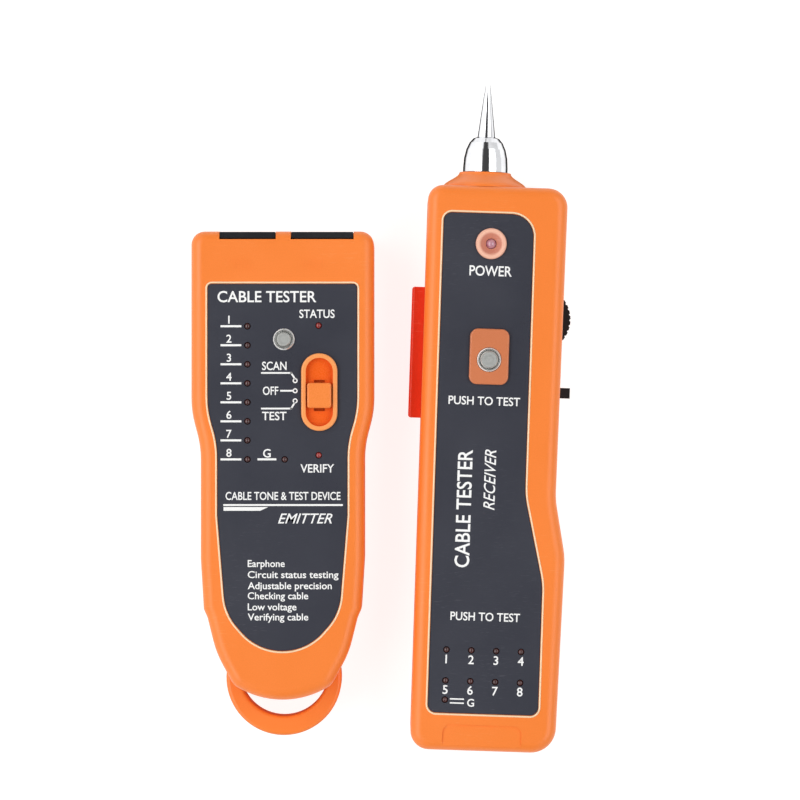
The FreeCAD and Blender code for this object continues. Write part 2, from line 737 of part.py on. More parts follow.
em_board_top = s.em_board + s.board_thick
em_lamp_spots = [
    (s.em_lamps, s.em_lamps_top - i * s.em_lamp_pitch) for i in range(8)
] + [(s.em_ground_lamp, s.em_lamps_top - 7 * s.em_lamp_pitch)]
em_signal_spots = [
    (s.em_signal_lamps, s.em_status_lamp), (s.em_signal_lamps, s.em_verify_lamp)
]
for name, spots in (("map_lamps", em_lamp_spots), ("signal_lamps", em_signal_spots)):
    keep("emitter", name, group(
        [lamp(x, y, em_board_top, s.lamp_radius, s.lamp_proud) for x, y in spots]
    ))

em_sleeve = push_button(
    "emitter", "push_button", s.em_button_across, s.em_button_along, s.em_button_radius,
    s.em_button_ring, LABEL_TOP, LABEL_TOP + 0.8, em_board_top,
)

# The mode switch: a capsule surround through the face, a knob, a loose plate on the knob's
# stem that closes the slot behind it, and the switch on the board.
mode = (s.em_mode_across, s.em_mode_along)
knob_along = s.em_mode_along - s.em_knob_shift
mode_top = LABEL_TOP + s.em_mode_proud
mode_floor = mode_top - s.em_mode_sunk
mode_body_top = em_board_top + s.em_mode_body_tall
stem_low = mode_body_top - 2.4
half_stem = s.em_knob_stem / 2
half_slot = half_stem + s.slide_gap
slot_long = half_slot + s.em_knob_travel
knob_low = mode_floor + s.slide_gap
mode_slot = (
    (s.em_mode_across - half_slot, knob_along - slot_long),
    (s.em_mode_across + half_slot, knob_along + slot_long),
)
mode_rim = plate(
    (s.em_mode_across - s.em_mode_wide / 2, s.em_mode_along - s.em_mode_long / 2),
    (s.em_mode_across + s.em_mode_wide / 2, s.em_mode_along + s.em_mode_long / 2),
    LABEL_TOP, mode_top, s.em_mode_wide / 2 - 0.05,
)
round_edges(mode_rim, s.surround_round, lambda e: lies_at(e, float(mode_top)))
keep("emitter", "mode_surround", cut(
    fuse(
        mode_rim,
        capsule(mode, s.em_mode_wide - 1, s.em_mode_long - 1, FACE_INSIDE - 0.4, LABEL_TOP),
    ),
    capsule(mode, s.em_mode_wide - 2 * s.em_mode_rim, s.em_mode_long - 2 * s.em_mode_rim,
            mode_floor, mode_top + OVER),
    box((*mode_slot[0], FACE_INSIDE - 2), (*mode_slot[1], mode_top)),
))
knob_cap = plate(
    (s.em_mode_across - s.em_knob_wide / 2, knob_along - s.em_knob_long / 2),
    (s.em_mode_across + s.em_knob_wide / 2, knob_along + s.em_knob_long / 2),
    knob_low, knob_low + s.em_knob_tall, 0.8,
)
round_edges(knob_cap, 0.5, lambda e: lies_at(e, float(knob_low + s.em_knob_tall)))
keep("emitter", "mode_knob", fuse(
    knob_cap,
    box((s.em_mode_across - half_stem, knob_along - half_stem, stem_low),
        (s.em_mode_across + half_stem, knob_along + half_stem, knob_low + 1)),
))
half_shutter = slot_long + s.em_knob_travel + s.em_shutter_past
shutter_top = FACE_INSIDE - 0.4 - s.slide_gap
keep("emitter", "mode_shutter", cut(
    box((s.em_mode_across - s.em_shutter_wide / 2, knob_along - half_shutter,
         shutter_top - s.em_shutter_thick),
        (s.em_mode_across + s.em_shutter_wide / 2, knob_along + half_shutter, shutter_top)),
    box((s.em_mode_across - half_slot, knob_along - half_slot, stem_low),
        (s.em_mode_across + half_slot, knob_along + half_slot, mode_floor)),
))
keep("emitter", "mode_switch", cut(
    box((s.em_mode_across - 4.5, knob_along - slot_long - 2, em_board_top),
        (s.em_mode_across + 4.5, knob_along + slot_long + 2, mode_body_top)),
    box((*mode_slot[0], stem_low - s.gap), (*mode_slot[1], mode_body_top + OVER)),
))

jack("emitter", "phone", s.em_phone, s.em_top, em_board_top, 1,
     s.phone_wide, s.phone_plug, s.phone_latch, 6, s.em_phone_notch)
jack("emitter", "network", s.em_network, s.em_top, em_board_top, 1,
     s.network_wide, s.network_plug, s.network_latch, 8, s.em_network_notch)

em_battery_low = s.wall + s.battery_lift
battery("emitter", 0, s.em_battery_end, em_battery_low)

em_rim = 0.4
em_column = s.em_half_top - s.wall - s.boss_radius - em_rim
em_column_low = s.em_half_grip - s.wall - s.boss_radius + em_rim
em_case_spots = [
    (sign * x, y)
    for x, y in ((em_column, s.em_top_screws), (em_column_low, s.em_bottom_screws))
    for sign in (-1, 1)
]
em_board_spots = [(0.25, 63), (-13.6, 3.4), (13.6, 3.4)]


def case_screws(device, spots, seat):
    """Self-tapping screws from the back into the front shell's posts."""
    length = s.split_height - seat + s.screw_bite
    keep(device, "case_screws", group([
        screw(x, y, seat, s.screw_radius, s.screw_head, s.screw_head_tall, length, "+z")
        for x, y in spots
    ]))


def screw_ways(spots, seat, mouth):
    """Cutters for the case screws in the rear shell: head recess and clearance hole."""
    return [
        rod((x, y, mouth), s.screw_head + s.gap, seat - mouth) for x, y in spots
    ] + [
        rod((x, y, seat - OVER), s.screw_radius + s.gap, s.split_height - seat + 2 * OVER)
        for x, y in spots
    ]


case_screws("emitter", em_case_spots, s.screw_seat)
keep("emitter", "board_screws", group([
    screw(x, y, em_board_top, s.board_screw_radius, s.board_screw_head, s.board_screw_tall,
          s.board_thick + s.board_screw_bite, "-z")
    for x, y in em_board_spots
]))
keep("emitter", "circuit_board", cut(
    prism([
        (-s.em_board_head_half, s.em_board_top, 1),
        (s.em_board_head_half, s.em_board_top, 1),
        (s.em_board_head_half, s.em_board_head, None),
        (s.em_board_half, s.em_board_head, None),
        (s.em_board_half, s.em_board_bottom, None),
        (-s.em_board_half, s.em_board_bottom, None),
        (-s.em_board_half, s.em_board_head, None),
        (-s.em_board_head_half, s.em_board_head, None),
    ], s.em_board, em_board_top),
    *(rod((x, y, s.em_board - OVER), s.board_screw_radius + s.gap, s.board_thick + 2 * OVER)
      for x, y in em_board_spots),
))

em_label = prism(emitter_label_outline(s.label_gap), LABEL_LOW, LABEL_TOP)
em_face_cuts = lamp_holes(em_lamp_spots + em_signal_spots, s.lamp_radius) + [
    rod((s.em_button_across, s.em_button_along, FACE_INSIDE - OVER), em_sleeve, s.wall + 2 * OVER),
    capsule(mode, s.em_mode_wide - 1 + s.gap, s.em_mode_long - 1 + s.gap,
            FACE_INSIDE - OVER, FACE + OVER),
]
keep("emitter", "face_label", cut(em_label, *em_face_cuts))

em_rear_block = prism(emitter_outline(0), 0, s.split_height)
round_edges(em_rear_block, s.back_round, lambda e: lies_at(e, 0))
round_edges(em_rear_block, s.seam_round, lambda e: lies_at(e, float(s.split_height)))
em_track = door("emitter", 0, s.em_door_head, em_rear_block)
em_cavity = prism(emitter_outline(s.wall), s.wall, s.split_height + OVER)
em_loop = cut(
    eye(s.em_loop_middle, s.em_loop_radius, s.em_eye_middle, s.em_eye_radius,
        s.em_loop_low, s.em_loop_high, s.em_loop_round),
    box((-s.em_loop_radius - OVER, s.em_foot_high - 2, s.em_loop_low - OVER),
        (s.em_loop_radius + OVER, s.em_top, s.em_loop_high + OVER)),
)
em_posts = [
    rod((x, y, 0.5), s.boss_radius, s.split_height - 0.5) for x, y in em_case_spots
] + [
    rod((x, y, s.wall / 2), s.boss_radius, s.em_board - s.wall / 2) for x, y in em_board_spots
]
em_snap_end = s.em_battery_end + s.snap_thick + 2 * s.gap
em_rib = box(
    (-s.em_half_waist + s.wall / 2, em_snap_end, s.wall / 2),
    (s.em_half_waist - s.wall / 2, em_snap_end + s.rib_thick, s.em_board - 1),
)
board_pilots = [
    rod((x, y, s.em_board - s.board_screw_bite - OVER), s.board_screw_radius + s.screw_gap,
        s.board_screw_bite + 2 * OVER)
    for x, y in em_board_spots
]
em_hollow_rear = cut(fuse(em_rear_block, em_loop), em_cavity)
em_mouths = [
    box((x - wide / 2 - s.gap, s.em_top - s.wall - OVER, em_board_top - s.gap),
        (x + wide / 2 + s.gap, s.em_top + OVER, s.split_height + OVER))
    for x, wide in ((s.em_phone, s.phone_wide), (s.em_network, s.network_wide))
]
keep("emitter", "rear_shell", cut(
    fuse(em_hollow_rear, em_rib, *em_posts),
    *screw_ways(em_case_spots, s.screw_seat, -OVER), *board_pilots, *em_track, *em_mouths,
))

em_front_block = prism(emitter_outline(0), s.split_height, FACE)
round_edges(em_front_block, s.front_round, lambda e: lies_at(e, float(FACE)))
round_edges(em_front_block, s.seam_round, lambda e: lies_at(e, float(s.split_height)))
em_front_cavity = prism(emitter_outline(s.wall), s.split_height - OVER, FACE_INSIDE)
em_front_posts = [
    rod((x, y, s.split_height), s.boss_radius, FACE_INSIDE + 0.5 - s.split_height)
    for x, y in em_case_spots
]
battery_top = em_battery_low + s.battery_thick
em_front_ribs = [
    box((x - 0.6, s.em_battery_end - s.battery_long + 6, battery_top + s.gap),
        (x + 0.6, s.em_battery_end - 6, FACE_INSIDE + 0.5))
    for x in (-8, 8)
]
em_notches = [
    box((x - wide / 2, s.em_top - s.em_notch_deep, s.split_height - OVER),
        (x + wide / 2, s.em_top + OVER, FACE + OVER))
    for x, wide in ((s.em_phone, s.em_phone_notch), (s.em_network, s.em_network_notch))
]
front_pilots = [
    rod((x, y, s.split_height - OVER), s.screw_radius + s.screw_gap, s.screw_bite + 2 * OVER)
    for x, y in em_case_spots
]
keep("emitter", "front_shell", cut(
    fuse(cut(em_front_block, em_front_cavity), *em_front_posts, *em_front_ribs),
    prism(emitter_label_outline(0), LABEL_LOW, FACE + OVER),
    *em_face_cuts, *em_notches, *front_pilots,
))

# ---- receiver -----------------------------------------------------------------------


def receiver_outline(inset):
    """The case in plan, or its cavity where inset is the wall."""
    return [
        (s.rc_left + inset, s.rc_top - inset, s.rc_top_left_round - inset),
        (s.rc_right_top - inset, s.rc_top - inset, s.rc_top_right_round - inset),
        (s.rc_right_waist - inset, s.rc_waist_low, s.rc_side_round),
        (s.rc_right_bulge - inset, s.rc_bulge_high, s.rc_side_round),
        (s.rc_right_foot - inset, s.rc_bottom + inset, s.rc_bottom_right_round - inset),
        (s.rc_left + inset, s.rc_bottom + inset, s.rc_bottom_left_round - inset),
    ]


def receiver_label_outline(inset):
    corner = s.rc_label_corner
    return [
        (s.rc_label_left + inset, s.rc_label_top - inset, corner),
        (s.rc_label_right - inset, s.rc_label_top - inset, s.rc_label_corner_large),
        (s.rc_label_right - inset, s.rc_label_swell_high, s.rc_side_round),
        (s.rc_label_right_low - inset, s.rc_label_swell_low, s.rc_side_round),
        (s.rc_label_right_low - inset, s.rc_label_bottom + inset, corner),
        (s.rc_label_left + inset, s.rc_label_bottom + inset, corner),
    ]


rc_board_top = FACE_INSIDE - s.rc_board_room
rc_board = rc_board_top - s.board_thick
mid = s.case_depth / 2
rc_lamp_spots = [
    (s.rc_lamp_left + column * s.rc_lamp_across, s.rc_lamp_row - row * s.rc_lamp_along)
    for row in range(2) for column in range(4)
] + [(s.rc_lamp_left, s.rc_ground_lamp)]
keep("receiver", "map_lamps", group(
    [lamp(x, y, rc_board_top, s.lamp_radius, s.lamp_proud) for x, y in rc_lamp_spots]
))

# The probe: a domed chrome base with a needle, a stud through the bush, a washer and a nut.
probe_foot = s.rc_top + s.rc_nose_tall + s.gap


def probe_at(along):
    return (s.rc_probe_across, along, mid)


ogive_foot = probe_foot + s.rc_probe_rim
ogive_steps = 5
probe_stages = [rod(probe_at(probe_foot), s.rc_probe_radius, s.rc_probe_rim, "+y")]
for i in range(ogive_steps):
    low, high = (math.sin(math.pi / 2 * k / ogive_steps) for k in (i, i + 1))
    slim, slimmer = (math.cos(math.pi / 2 * k / ogive_steps) for k in (i, i + 1))
    span = s.rc_probe_radius - s.rc_ogive_radius
    probe_stages.append(taper(
        probe_at(ogive_foot + (s.rc_ogive_tall - s.rc_probe_rim) * low),
        s.rc_ogive_radius + span * slim, s.rc_ogive_radius + span * slimmer,
        (s.rc_ogive_tall - s.rc_probe_rim) * (high - low), "+y",
    ))
needle_foot = probe_foot + s.rc_ogive_tall
bush_low = s.rc_top - s.rc_nose_inside - s.rc_bush_inside
stud_low = bush_low - 5
keep("receiver", "probe_tip", fuse(
    *probe_stages,
    taper(probe_at(needle_foot), s.rc_ogive_radius, s.rc_needle_radius, s.rc_needle_tall, "+y"),
    taper(probe_at(needle_foot + s.rc_needle_tall), s.rc_needle_radius, s.rc_point_radius,
          s.rc_point_tall, "+y"),
    rod(probe_at(stud_low), s.rc_stud_radius, probe_foot - stud_low, "+y"),
))
stud_bore = rod(probe_at(stud_low - OVER), s.rc_stud_radius + s.screw_gap,
                probe_foot - stud_low + 2 * OVER, "+y")
keep("receiver", "probe_bush", cut(
    rod(probe_at(bush_low), s.rc_bush_radius, probe_foot - bush_low, "+y"), stud_bore
))
keep("receiver", "probe_washer", cut(
    rod(probe_at(bush_low), 4.2, 0.8, "-y"), stud_bore
))
nut = doc.addObject("Part::Prism", "Nut")
nut.Polygon = 6
bind(nut, "Circumradius", s.rc_stud_radius * 1.9)
bind(nut, "Height", 3)
put(nut, probe_at(bush_low - 0.8), "-y")
keep("receiver", "probe_nut", cut(nut, stud_bore))

# The dished surround and its lamp.
power = (s.rc_power_across, s.rc_power_along)
power_top = LABEL_TOP + s.rc_power_proud
keep("receiver", "power_surround", cut(
    fuse(
        rod((*power, LABEL_TOP), s.rc_power_ring, s.rc_power_proud - s.button_bevel),
        taper((*power, power_top - s.button_bevel), s.rc_power_ring,
              s.rc_power_ring - s.button_bevel, s.button_bevel),
        rod((*power, FACE_INSIDE - 0.5), s.rc_power_sleeve, power_top - FACE_INSIDE),
    ),
    taper((*power, LABEL_TOP - 0.4), s.rc_power_lamp + 0.3, s.rc_power_dish,
          s.rc_power_proud + 0.4),
    rod((*power, FACE_INSIDE - 2), s.rc_power_lamp + s.gap / 2, s.wall + 4),
))
keep("receiver", "power_lamp", lamp(*power, rc_board_top, s.rc_power_lamp, 0.6))

# The test button's surround, with its silver ring and button.
test_button = (s.rc_test_across, s.rc_test_along - s.rc_test_low)
test_top = LABEL_TOP + s.rc_test_proud
push_button(
    "receiver", "test_button", *test_button, s.rc_button_radius, s.rc_button_ring,
    FACE_INSIDE - 0.4, test_top + 0.3, rc_board_top,
)
half_wide, half_long = s.rc_test_wide / 2, s.rc_test_long / 2
test_block = plate(
    (s.rc_test_across - half_wide, s.rc_test_along - half_long),
    (s.rc_test_across + half_wide, s.rc_test_along + half_long),
    LABEL_TOP, test_top, s.rc_test_round,
)
round_edges(test_block, s.surround_round, lambda e: lies_at(e, float(test_top)))
test_foot = plate(
    (s.rc_test_across - half_wide + 1, s.rc_test_along - half_long + 1),
    (s.rc_test_across + half_wide - 1, s.rc_test_along + half_long - 1),
    FACE_INSIDE - 0.4, LABEL_TOP, s.rc_test_round - 1,
)
keep("receiver", "test_surround", cut(
    fuse(test_block, test_foot),
    rod((*test_button, FACE_INSIDE - 2), s.rc_button_ring + s.gap / 2, s.wall + 5),
))

# The long side button, its flange inside the wall, and its push switch under the board.
side_inside = s.rc_left + s.wall
flange_left = side_inside + s.slide_gap
flange_right = flange_left + s.rc_side_flange
side_middle = (s.rc_side_low + s.rc_side_high) / 2
side_height = (s.rc_side_back + s.rc_side_front) / 2
side_tip = flange_right + 1.2
plunger_left = side_tip + s.rc_side_travel + 0.1
side_cap = plate(
    (s.rc_left - s.rc_side_proud, s.rc_side_low), (flange_right, s.rc_side_high),
    s.rc_side_back, s.rc_side_front,
)
outer_x = float(s.rc_left - s.rc_side_proud)
round_edges(side_cap, 0.8, lambda e: abs(e.BoundBox.XMin - outer_x) < 1e-4
            and abs(e.BoundBox.XMax - outer_x) < 1e-4)
keep("receiver", "side_button", fuse(
    side_cap,
    box((flange_left, s.rc_side_low - s.rc_side_lip, s.rc_side_back - s.rc_side_lip),
        (flange_right, s.rc_side_high + s.rc_side_lip, s.rc_side_front + s.rc_side_lip / 2)),
    rod((flange_right - 0.5, side_middle, side_height), 2, side_tip - flange_right + 0.5, "+x"),
))
half = s.switch_body / 2
keep("receiver", "side_switch", fuse(
    box((plunger_left + 1, side_middle - half, side_height - half),
        (plunger_left + 1 + s.switch_tall, side_middle + half, rc_board)),
    rod((plunger_left, side_middle, side_height), 1.7, 2, "+x"),
))
side_window = box(
    (s.rc_left - OVER, s.rc_side_low - s.slide_gap, s.rc_side_back - s.slide_gap),
    (side_inside + OVER, s.rc_side_high + s.slide_gap, s.rc_side_front + s.slide_gap),
)

# The thumbwheel with its grooves, screw and potentiometer.
wheel = (s.rc_wheel_across, s.rc_wheel_along)
wheel_top = s.rc_wheel_low + s.rc_wheel_thick
grooves = []
for i in range(int(s.rc_wheel_teeth)):
    angle = 2 * math.pi * i / int(s.rc_wheel_teeth)
    grooves.append(rod(
        (wheel[0] + s.rc_wheel_radius * math.cos(angle),
         wheel[1] + s.rc_wheel_radius * math.sin(angle), s.rc_wheel_low - OVER),
        s.rc_wheel_groove, s.rc_wheel_thick + 2 * OVER,
    ))
wheel_seat = s.rc_wheel_low + 1
wheel_screw_long = 4
keep("receiver", "thumbwheel", cut(
    fuse(
        rod((*wheel, s.rc_wheel_low), s.rc_wheel_radius, s.rc_wheel_thick),
        rod((*wheel, wheel_top - OVER), s.rc_wheel_hub, rc_board - wheel_top - s.gap + OVER),
    ),
    *grooves,
    rod((*wheel, s.rc_wheel_low - OVER), 2, wheel_seat - s.rc_wheel_low + OVER),
    rod((*wheel, wheel_seat - OVER), 0.9 + s.screw_gap, wheel_screw_long + 2 * OVER),
))
keep("receiver", "thumbwheel_screw", screw(
    *wheel, wheel_seat, 0.9, 1.7, 0.9, wheel_screw_long, "+z"
))
keep("receiver", "potentiometer", cut(
    rod((*wheel, wheel_top + s.gap), s.rc_right_waist - s.wall - s.gap - s.rc_wheel_across,
        rc_board - wheel_top - s.gap),
    rod((*wheel, wheel_top - OVER), s.rc_wheel_hub + 0.06, rc_board - wheel_top + 2 * OVER),
))
wall_reach = s.rc_wheel_across + s.rc_wheel_radius + OVER
slot_half = s.rc_wheel_radius * 0.92
wheel_window = box(
    (s.rc_right_waist - s.wall - OVER, s.rc_wheel_along - slot_half, s.rc_wheel_low - 2 * s.gap),
    (wall_reach, s.rc_wheel_along + slot_half, wheel_top + 2 * s.gap),
)

# The small slide switch in the right side, hanging under the board.
light_half = s.rc_light_wide / 2
light_top = s.rc_light_low + s.rc_light_tall
light_face = s.rc_right_waist - s.wall - 0.6
light_out = s.rc_right_waist + s.rc_light_proud
light_low, light_high = s.rc_light_along - light_half, s.rc_light_along + light_half
keep("receiver", "light_knob", box(
    (light_face - 2.4, light_low, s.rc_light_low), (light_out, light_high, light_top)
))
light_slot = (
    (light_low - s.slide_gap, s.rc_light_low - s.slide_gap),
    (light_high + s.rc_light_travel + s.slide_gap, light_top + s.slide_gap),
)
keep("receiver", "light_switch", cut(
    box((light_face - 6, light_low - 3, s.rc_light_low - 1.5),
        (light_face, light_high + s.rc_light_travel + 3, rc_board)),
    box((light_face - 2.4 - s.gap, light_slot[0][0], light_slot[0][1]),
        (light_face + OVER, light_slot[1][0], light_slot[1][1])),
))
light_window = box(
    (s.rc_right_waist - s.wall - OVER, light_slot[0][0], light_slot[0][1]),
    (light_out, light_slot[1][0], light_slot[1][1]),
)

# The earphone socket in the right side.
ear_mouth = s.rc_right_waist + 0.1
ear_at = (ear_mouth - s.rc_ear_deep - 1.5, s.rc_ear_along, s.rc_ear_height)
ear_shoulder = s.rc_right_waist - s.wall - s.gap
keep("receiver", "earphone_socket", cut(
    fuse(
        box((ear_at[0], s.rc_ear_along - 3.5, s.rc_ear_height - 4.2),
            (ear_shoulder, s.rc_ear_along + 3.5, rc_board)),
        rod((ear_shoulder - 1, s.rc_ear_along, s.rc_ear_height), s.rc_ear_nose,
            ear_mouth - ear_shoulder + 1, "+x"),
    ),
    rod((ear_mouth - s.rc_ear_deep, s.rc_ear_along, s.rc_ear_height), s.rc_ear_bore,
        s.rc_ear_deep + OVER, "+x"),
))
ear_window = rod((ear_shoulder - OVER, s.rc_ear_along, s.rc_ear_height), s.rc_ear_nose + s.gap,
                 s.wall + 4, "+x")

jack("receiver", "network", s.rc_network, s.rc_bottom, rc_board, -1,
     s.network_wide, s.network_plug, s.network_latch, 8)
socket_window = box(
    (s.rc_network - s.network_wide / 2 - s.gap, s.rc_bottom - OVER,
     rc_board - s.jack_high - s.gap),
    (s.rc_network + s.network_wide / 2 + s.gap, s.rc_bottom + s.wall + OVER, rc_board + s.gap),
)

rc_battery_room = rc_board - s.wall - s.battery_thick
rc_battery_low = s.wall + min(s.battery_lift, rc_battery_room / 2)
battery("receiver", s.rc_battery_middle, s.rc_battery_end, rc_battery_low)

speaker = (s.rc_speaker_across, s.rc_speaker_along)
keep("receiver", "loudspeaker", fuse(
    rod((*speaker, s.wall + s.gap), s.rc_speaker_radius, 1.6),
    taper((*speaker, s.wall + s.gap + 1.6), s.rc_speaker_radius - 1, s.rc_speaker_radius * 0.6,
          s.rc_speaker_thick - 3),
    rod((*speaker, s.wall + s.gap + s.rc_speaker_thick - 1.4), s.rc_speaker_radius * 0.5, 1.4),
))
grille = []
for i in range(-2, 3):
    for j in range(-2, 3):
        if abs(i) + abs(j) < 4:
            grille.append(rod(
                (speaker[0] + i * s.rc_grille_pitch, speaker[1] + j * s.rc_grille_pitch, -OVER),
                s.rc_grille_radius, s.wall + 2 * OVER,
            ))

# Screws: two in the top corners, two beside the socket under the door's end.
low_post = s.network_wide / 2 + s.boss_radius + s.rc_low_post_gap
rc_top_spots = [
    (s.rc_left + s.wall + s.boss_radius - 0.4, s.rc_board_top + s.boss_radius + 3.2),
    (s.rc_right_top - s.wall - s.boss_radius - 0.4, s.rc_board_top + s.boss_radius + 3.2),
]
rc_low_spots = [
    (s.rc_network - low_post, s.rc_low_posts), (s.rc_network + low_post, s.rc_low_posts)
]
rc_case_spots = rc_top_spots + rc_low_spots
low_seat = s.wall + s.rc_tray + s.screw_head_tall
rc_case_screws = [
    screw(x, y, seat, s.screw_radius, s.screw_head, s.screw_head_tall,
          s.split_height - seat + s.screw_bite, "+z")
    for spots, seat in ((rc_top_spots, s.screw_seat), (rc_low_spots, low_seat))
    for x, y in spots
]
keep("receiver", "case_screws", group(rc_case_screws))
rc_board_spots = [
    (s.rc_board_left + 2.6, 61), (s.rc_board_right - 2.6, 63),
    (s.rc_board_left + 2.6, -5), (s.rc_board_right - 2.6, -5),
    (s.rc_board_left + 2.1, -66), (s.rc_board_right - 2.6, -66),
]
keep("receiver", "board_screws", group([
    screw(x, y, rc_board, s.board_screw_radius, s.board_screw_head, s.board_screw_tall,
          s.board_thick + s.board_screw_bite, "+z")
    for x, y in rc_board_spots
]))
tongue_left = s.rc_network - low_post + s.boss_radius + 2 * s.gap
tongue_right = s.rc_network + low_post - s.boss_radius - 2 * s.gap
keep("receiver", "circuit_board", cut(
    prism([
        (s.rc_board_left, s.rc_board_top, 1),
        (s.rc_board_right, s.rc_board_top, 1),
        (s.rc_board_right, s.rc_board_step, None),
        (tongue_right, s.rc_board_step, None),
        (tongue_right, s.rc_board_bottom, None),
        (tongue_left, s.rc_board_bottom, None),
        (tongue_left, s.rc_board_step, None),
        (s.rc_board_left, s.rc_board_step, None),
    ], rc_board, rc_board_top),
    *(rod((x, y, rc_board - OVER), s.board_screw_radius + s.gap, s.board_thick + 2 * OVER)
      for x, y in rc_board_spots),
))

rc_face_cuts = lamp_holes(rc_lamp_spots, s.lamp_radius) + [
    rod((*power, FACE_INSIDE - OVER), s.rc_power_sleeve + s.gap / 2, s.wall + 2 * OVER),
    plate((s.rc_test_across - half_wide + 1 - s.gap / 2, s.rc_test_along - half_long + 1 - s.gap / 2),
          (s.rc_test_across + half_wide - 1 + s.gap / 2, s.rc_test_along + half_long - 1 + s.gap / 2),
          FACE_INSIDE - OVER, FACE + OVER, s.rc_test_round - 1),
]
rc_label = prism(receiver_label_outline(s.label_gap), LABEL_LOW, LABEL_TOP)
keep("receiver", "face_label", cut(rc_label, *rc_face_cuts))

nose_steps = 8
nose_radii = [
    s.rc_nose_tip + (s.rc_nose_foot - s.rc_nose_tip) * ((1 + math.cos(math.pi * k / nose_steps)) / 2)
    for k in range(nose_steps + 1)
]
nose = fuse(
    *(taper(probe_at(s.rc_top + s.rc_nose_tall * (k / nose_steps)), nose_radii[k],
            nose_radii[k + 1], s.rc_nose_tall * (1 / nose_steps), "+y")
      for k in range(nose_steps)),
    rod(probe_at(s.rc_top - s.rc_nose_inside), s.rc_bush_radius + 2.2, s.rc_nose_inside, "+y"),
)
bush_bore = rod(probe_at(bush_low - OVER), s.rc_bush_radius + s.screw_gap,
                probe_foot - bush_low + 2 * OVER, "+y")
reach = 200
back_half = box((-reach, -reach, -OVER), (reach, reach, s.split_height))
front_half = box((-reach, -reach, s.split_height), (reach, reach, FACE + OVER))
side_cuts = (side_window, wheel_window, light_window, ear_window, socket_window, bush_bore)

rc_rear_block = prism(receiver_outline(0), 0, s.split_height)
round_edges(rc_rear_block, s.back_round, lambda e: lies_at(e, 0))
round_edges(rc_rear_block, s.seam_round, lambda e: lies_at(e, float(s.split_height)))
rc_track = door("receiver", s.rc_battery_middle, s.rc_door_head, rc_rear_block)
rc_cavity = prism(receiver_outline(s.wall), s.wall, s.split_height + OVER)
battery_foot = s.rc_battery_end - s.battery_long
rc_tray = box(
    (s.rc_left + s.wall / 2, s.rc_bottom + s.wall / 2, s.wall),
    (s.rc_right_foot - s.wall / 2, battery_foot - 1, s.wall + s.rc_tray),
)
rc_snap_end = s.rc_battery_end + s.snap_thick + 2 * s.gap
rc_head_rib = box(
    (s.rc_left + s.wall / 2, rc_snap_end, s.wall / 2),
    (s.rc_right_waist - s.wall / 2, rc_snap_end + s.rib_thick, s.split_height - 1),
)
rc_posts = [rod((x, y, 0.5), s.boss_radius, s.split_height - 0.5) for x, y in rc_top_spots] + [
    rod((x, y, s.wall), s.boss_radius, s.split_height - s.wall) for x, y in rc_low_spots
]
keep("receiver", "rear_shell", cut(
    fuse(cut(rc_rear_block, rc_cavity), common(rc_tray, rc_rear_block), rc_head_rib,
         common(nose, back_half), *rc_posts),
    *screw_ways(rc_top_spots, s.screw_seat, -OVER),
    *screw_ways(rc_low_spots, low_seat, s.wall - OVER),
    *rc_track, *side_cuts, *grille,
))

rc_front_block = prism(receiver_outline(0), s.split_height, FACE)
round_edges(rc_front_block, s.front_round, lambda e: lies_at(e, float(FACE)))
round_edges(rc_front_block, s.seam_round, lambda e: lies_at(e, float(s.split_height)))
rc_front_cavity = prism(receiver_outline(s.wall), s.split_height - OVER, FACE_INSIDE)
rc_front_posts = [
    rod((x, y, s.split_height), s.boss_radius, FACE_INSIDE + 0.5 - s.split_height)
    for x, y in rc_case_spots
] + [
    rod((x, y, rc_board_top), s.boss_radius - 0.4, FACE_INSIDE + 0.5 - rc_board_top)
    for x, y in rc_board_spots
]
rc_pilots = [
    rod((x, y, s.split_height - OVER), s.screw_radius + s.screw_gap, s.screw_bite + 2 * OVER)
    for x, y in rc_case_spots
] + [
    rod((x, y, rc_board_top - OVER), s.board_screw_radius + s.screw_gap,
        s.board_screw_bite + 1.4 * OVER)
    for x, y in rc_board_spots
]
panel = plate(
    (s.rc_panel_left, s.rc_bottom - 4), (s.rc_panel_right, s.rc_panel_top),
    FACE - s.rc_panel_deep, FACE + OVER, 2.5,
)
keep("receiver", "front_shell", cut(
    fuse(cut(rc_front_block, rc_front_cavity), common(nose, front_half), *rc_front_posts),
    prism(receiver_label_outline(0), LABEL_LOW, FACE + OVER),
    *rc_face_cuts, *side_cuts, *rc_pilots, panel,
))

# ---- placing, checking and writing --------------------------------------------------

doc.recompute()
up = FreeCAD.Vector(0, 0, 1)
places = {
    "emitter": FreeCAD.Placement(),
    "receiver": FreeCAD.Placement(
        FreeCAD.Vector(s.receiver_across, s.receiver_along, 0),
        FreeCAD.Rotation(up, -float(s.receiver_lean)),
    ),
}


def place_all():
    for device, items in kept.items():
        for item in items.values():
            item.Placement = places[device]
    doc.recompute()
    whole = FreeCAD.BoundBox()
    for items in kept.values():
        for item in items.values():
            whole.add(item.Shape.BoundBox)
    return whole


around = place_all()
for place in places.values():  # the kit's origin is the middle of its box, on the floor
    place.Base = place.Base - FreeCAD.Vector(around.Center.x, around.Center.y, around.ZMin)
place_all()

for item in doc.Objects:
    if "Invalid" in item.State or "Error" in item.State:
        raise RuntimeError(f"{item.Name} ({item.Label}) failed: {item.State}")
for items in kept.values():
    for item in items.values():
        if item.Shape.isNull() or not item.Shape.isValid() or not item.Shape.Solids:
            raise RuntimeError(f"{item.Label} has no valid solid")

os.makedirs("parts", exist_ok=True)
for items in kept.values():
    for item in items.values():
        item.Shape.exportStep(f"parts/{item.Label}.step")
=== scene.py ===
import math

import bmesh
import bpy
from mathutils import Matrix, Vector


